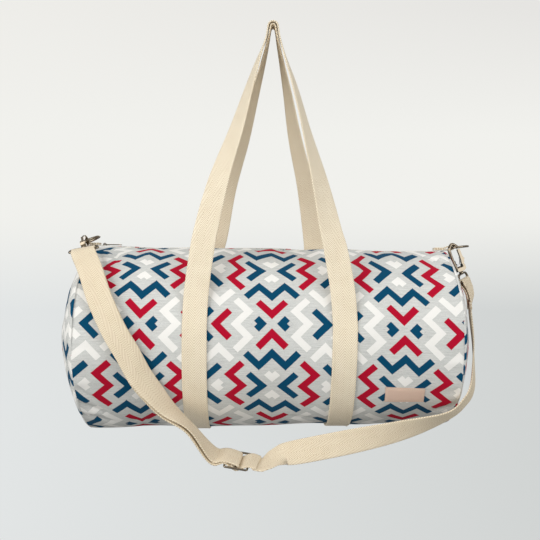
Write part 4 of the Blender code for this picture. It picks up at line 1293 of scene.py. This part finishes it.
def build_zip(cloth, coil, thread, metal):
    crown = math.pi / 2
    left = float(end_reach(END_LEFT, crown))
    right = float(end_reach(END_RIGHT, crown))
    for name, node, side in (("tape_front", "zip_tape_front", -1.0), ("tape_back", "zip_tape_back", 1.0)):
        build_tape(name, node, side, left, right, cloth)
        build_coil(name, side, left, right, coil)
        x = np.linspace(left + 0.004, right - 0.004, 200)
        row = cloth_point(x, crown + side * (ZIP_HALF_OPENING + 0.0032) / MEAN_RADIUS)
        row = stitches(row, np.tile((0.0, 0.0, 1.0), (len(x), 1)), *ZIP_STITCH)
        add_piece(name + "_stitching", row, thread, "bag", slot="zip_tape")
    for node in ("zip_slider", "zip_pull"):
        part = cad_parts[node]
        part.data.materials.clear()
        part.data.materials.append(metal)
        rounded(part, 0.00025, 2, 30.0)


def build_label(cloth, thread):
    columns, rows = 40, 22
    share = np.linspace(-0.5, 0.5, columns)[:, None]
    rise = np.linspace(-0.5, 0.5, rows)[None, :]
    x = LABEL_CENTRE_X + share * LABEL_WIDTH + 0 * rise
    reach = radius_at(x)
    middle = LABEL_ANGLE + math.tan(LABEL_SLANT) * share * LABEL_WIDTH / reach
    angle = middle + rise * LABEL_HEIGHT / reach
    edge = np.minimum(0.5 - np.abs(share), (0.5 - np.abs(rise)) * LABEL_HEIGHT / LABEL_WIDTH) * LABEL_WIDTH
    puff = 0.0011 - 0.0006 * np.exp(-((edge - 0.0018) / 0.0007) ** 2) - 0.0004 * np.exp(-edge / 0.0006)
    top = cloth_point(x, angle, puff + 0.0002)
    low = cloth_point(x, angle, 0.0001 + 0 * puff)
    run = np.stack([share * LABEL_WIDTH + 0 * rise, rise * LABEL_HEIGHT + 0 * share], -1)
    face = grid("face", top, run)
    data = merged("label", [face] + rims(top, low, 0.02, 0.001))
    add_piece("label", data, cloth, "bag", "side_label", slot="label_cloth", smooth=50.0)
    inset = 0.0020
    w, h = LABEL_WIDTH / 2 - inset, LABEL_HEIGHT / 2 - inset
    parts = []
    corners = [(-w, -h), (w, -h), (w, h), (-w, h), (-w, -h)]
    for (ax, ay), (bx, by) in zip(corners, corners[1:]):
        across = np.linspace(ax, bx, 40)
        up = np.linspace(ay, by, 40)
        reach = radius_at(LABEL_CENTRE_X + across)
        turn = LABEL_ANGLE + (math.tan(LABEL_SLANT) * across + up) / reach
        line = cloth_point(LABEL_CENTRE_X + across, turn, 0.0009)
        parts.append(stitches(line, outwards(turn), *LABEL_STITCH))
    add_piece("label_stitching", merged("label_stitching", parts), thread, "bag", slot="label_cloth")


# Stage, lights and camera
def build_stage():
    """A pale sweep: a wall far behind the bag, curving into a floor below it."""
    profile = [(-4.0, -1.5), *arc((2.6, -0.6), 0.9, -90, 0, 15), (3.5, 4.0)]
    points = np.array([[(x, y, z) for x in np.linspace(-5, 5, 9)] for y, z in profile])
    data = grid("sweep", points, np.zeros((*points.shape[:2], 2)))
    sweep = bpy.data.objects.new("sweep", data)
    bpy.context.scene.collection.objects.link(sweep)
    data.shade_smooth()
    finish = Finish("backdrop", 0.9)
    finish.colour(linear(150, 150, 149))
    tree = finish.tree
    x, _, z = parts_of(tree, finish.place())
    # Camera rays see painted light on the wall: a brighter pool at mid height, and painted shade lower down and
    # towards the right.
    side = (x * 0.40 + 0.5).clamped()
    low = finish.mix(side, linear(226, 229, 229), linear(209, 212, 211))
    high = finish.mix(side, linear(238, 237, 233), linear(230, 229, 226))
    painted_wall_light = finish.mix((z * 2.2 + 1.15).op("SMOOTH_MIN", 1.0, 0.3, clamp=True), low, linear(241, 241, 237))
    painted_wall_light = finish.mix((z * 1.6 - 0.55).clamped(), painted_wall_light, high)
    light = tree.nodes.new("ShaderNodeEmission")
    feed(tree, light.inputs["Color"], painted_wall_light)
    blend = tree.nodes.new("ShaderNodeMixShader")
    feed(tree, blend.inputs[0], tree.nodes.new("ShaderNodeLightPath").outputs["Is Camera Ray"])
    feed(tree, blend.inputs[1], finish.shader.outputs[0])
    feed(tree, blend.inputs[2], light.outputs[0])
    feed(tree, tree.nodes["Material Output"].inputs["Surface"], blend.outputs[0])
    data.materials.append(finish.material)


def add_area(name, place, target, size, power, colour=(1.0, 1.0, 1.0)):
    data = bpy.data.lights.new(name, "AREA")
    data.shape = "RECTANGLE"
    data.size, data.size_y = size
    data.energy = power
    data.color = colour
    lamp = bpy.data.objects.new(name, data)
    lamp.location = place
    lamp.rotation_euler = (Vector(target) - Vector(place)).to_track_quat("-Z", "Y").to_euler()
    bpy.context.scene.collection.objects.link(lamp)


def build_lights():
    world = bpy.data.worlds.new("world")
    world.use_nodes = True
    tree = world.node_tree
    x, _, z = parts_of(tree, tree.nodes.new("ShaderNodeTexCoord").outputs["Generated"])
    level = z * 0.02 + 0.53
    # Metal reflects a room with warm dark bands; everything else is lit evenly
    bands = (z * 6.0 + x * 4.0 + 0.6).op("SINE")
    glossy = Field(tree, tree.nodes.new("ShaderNodeLightPath").outputs["Is Glossy Ray"])
    tint = tree.nodes.new("ShaderNodeMix")
    tint.data_type = "RGBA"
    feed(tree, tint.inputs[0], (bands * 1.4 + 0.3).clamped() * glossy)
    feed(tree, tint.inputs[6], (1.0, 0.995, 0.985, 1.0))
    feed(tree, tint.inputs[7], (0.16, 0.105, 0.055, 1.0))
    feed(tree, tree.nodes["Background"].inputs[0], tint.outputs[2])
    feed(tree, tree.nodes["Background"].inputs[1], level)
    bpy.context.scene.world = world
    middle = (0.0, 0.0, -0.35)
    add_area("key", (-1.8, -1.8, 0.25), middle, (2.0, 2.0), 40.0, (1.0, 0.99, 0.97))
    add_area("fill", (1.6, -1.8, 0.10), middle, (1.8, 1.8), 19.0, (1.0, 0.995, 0.98))
    add_area("top", (0.1, 0.2, 1.7), middle, (1.6, 1.2), 5.0)
    add_area("back", (0.4, 2.1, 0.6), middle, (1.8, 1.4), 12.0)


def build_camera():
    data = bpy.data.cameras.new("camera")
    data.sensor_width = SENSOR
    data.lens = FOCAL_PIXELS * SENSOR / PICTURE_PIXELS
    camera = bpy.data.objects.new("camera", data)
    camera.location = CAMERA_PLACE
    camera.rotation_euler = (math.radians(90.0), 0.0, 0.0)
    bpy.context.scene.collection.objects.link(camera)
    bpy.context.scene.camera = camera


bpy.context.scene.view_settings.view_transform = "Standard"
build_camera()
print_front = printed_cloth("printed_cloth")
print_end = printed_cloth("printed_cloth_ends", (0.02, 0.03))
web = webbing("herringbone_webbing")
# The back handle's webbing: a copy tinted darker brown, painted shade for the handle that lies in shadow.
web_back_painted_shade = webbing("herringbone_webbing_back_painted_shade", 0.10)
web_strap = webbing("herringbone_webbing_strap", 0.16)
sewing = thread_finish("sewing_thread", THREAD)
nickel = polished("polished_nickel", NICKEL, 0.16)
steel = polished("spring_steel", linear(190, 190, 192), 0.3)
lining = plain_weave("lining", LINING, 0.0008, 0.0001)
label_cloth = plain_weave("label_cloth", LABEL, 0.0006, 0.00008, 0.7)
tape_cloth = plain_weave("zip_tape_cloth", TAPE, 0.0009, 0.00010)
coil = thread_finish("zip_coil", linear(214, 209, 198))

build_barrel(print_front, lining)
build_end("end_cloth_left", "end_panel_left", END_LEFT, BULGE_LEFT, RADIUS_LEFT, print_end)
build_end("end_cloth_right", "end_panel_right", END_RIGHT, BULGE_RIGHT, RADIUS_RIGHT, print_end)
build_handle("front_handle", "handle_front", True, web, sewing)
build_handle("back_handle", "handle_back", False, web_back_painted_shade, sewing)
build_tab("left", BAR_LEFT, -1.0, web, sewing)
build_tab("right", BAR_RIGHT, 1.0, web, sewing)
build_ring("left", ring_frame(BAR_LEFT, 1.0, RING_TILT_LEFT), nickel)
build_ring("right", ring_frame(BAR_RIGHT, 1.0, RING_TILT_RIGHT), nickel)
hooks = hook_frames()
for side, (claw, eye) in hooks.items():
    build_claw(side, claw, nickel)
    build_claw_base(side, claw, nickel)
    build_gate(side, claw, nickel)
    build_leaf(side, claw, steel)
    build_eye(side, eye, nickel)
route = strap_route(hooks)
build_strap(route, web_strap, sewing)
build_adjuster(route, nickel)
build_zip(tape_cloth, coil, sewing, nickel)
build_label(label_cloth, sewing)
build_stage()
build_lights()
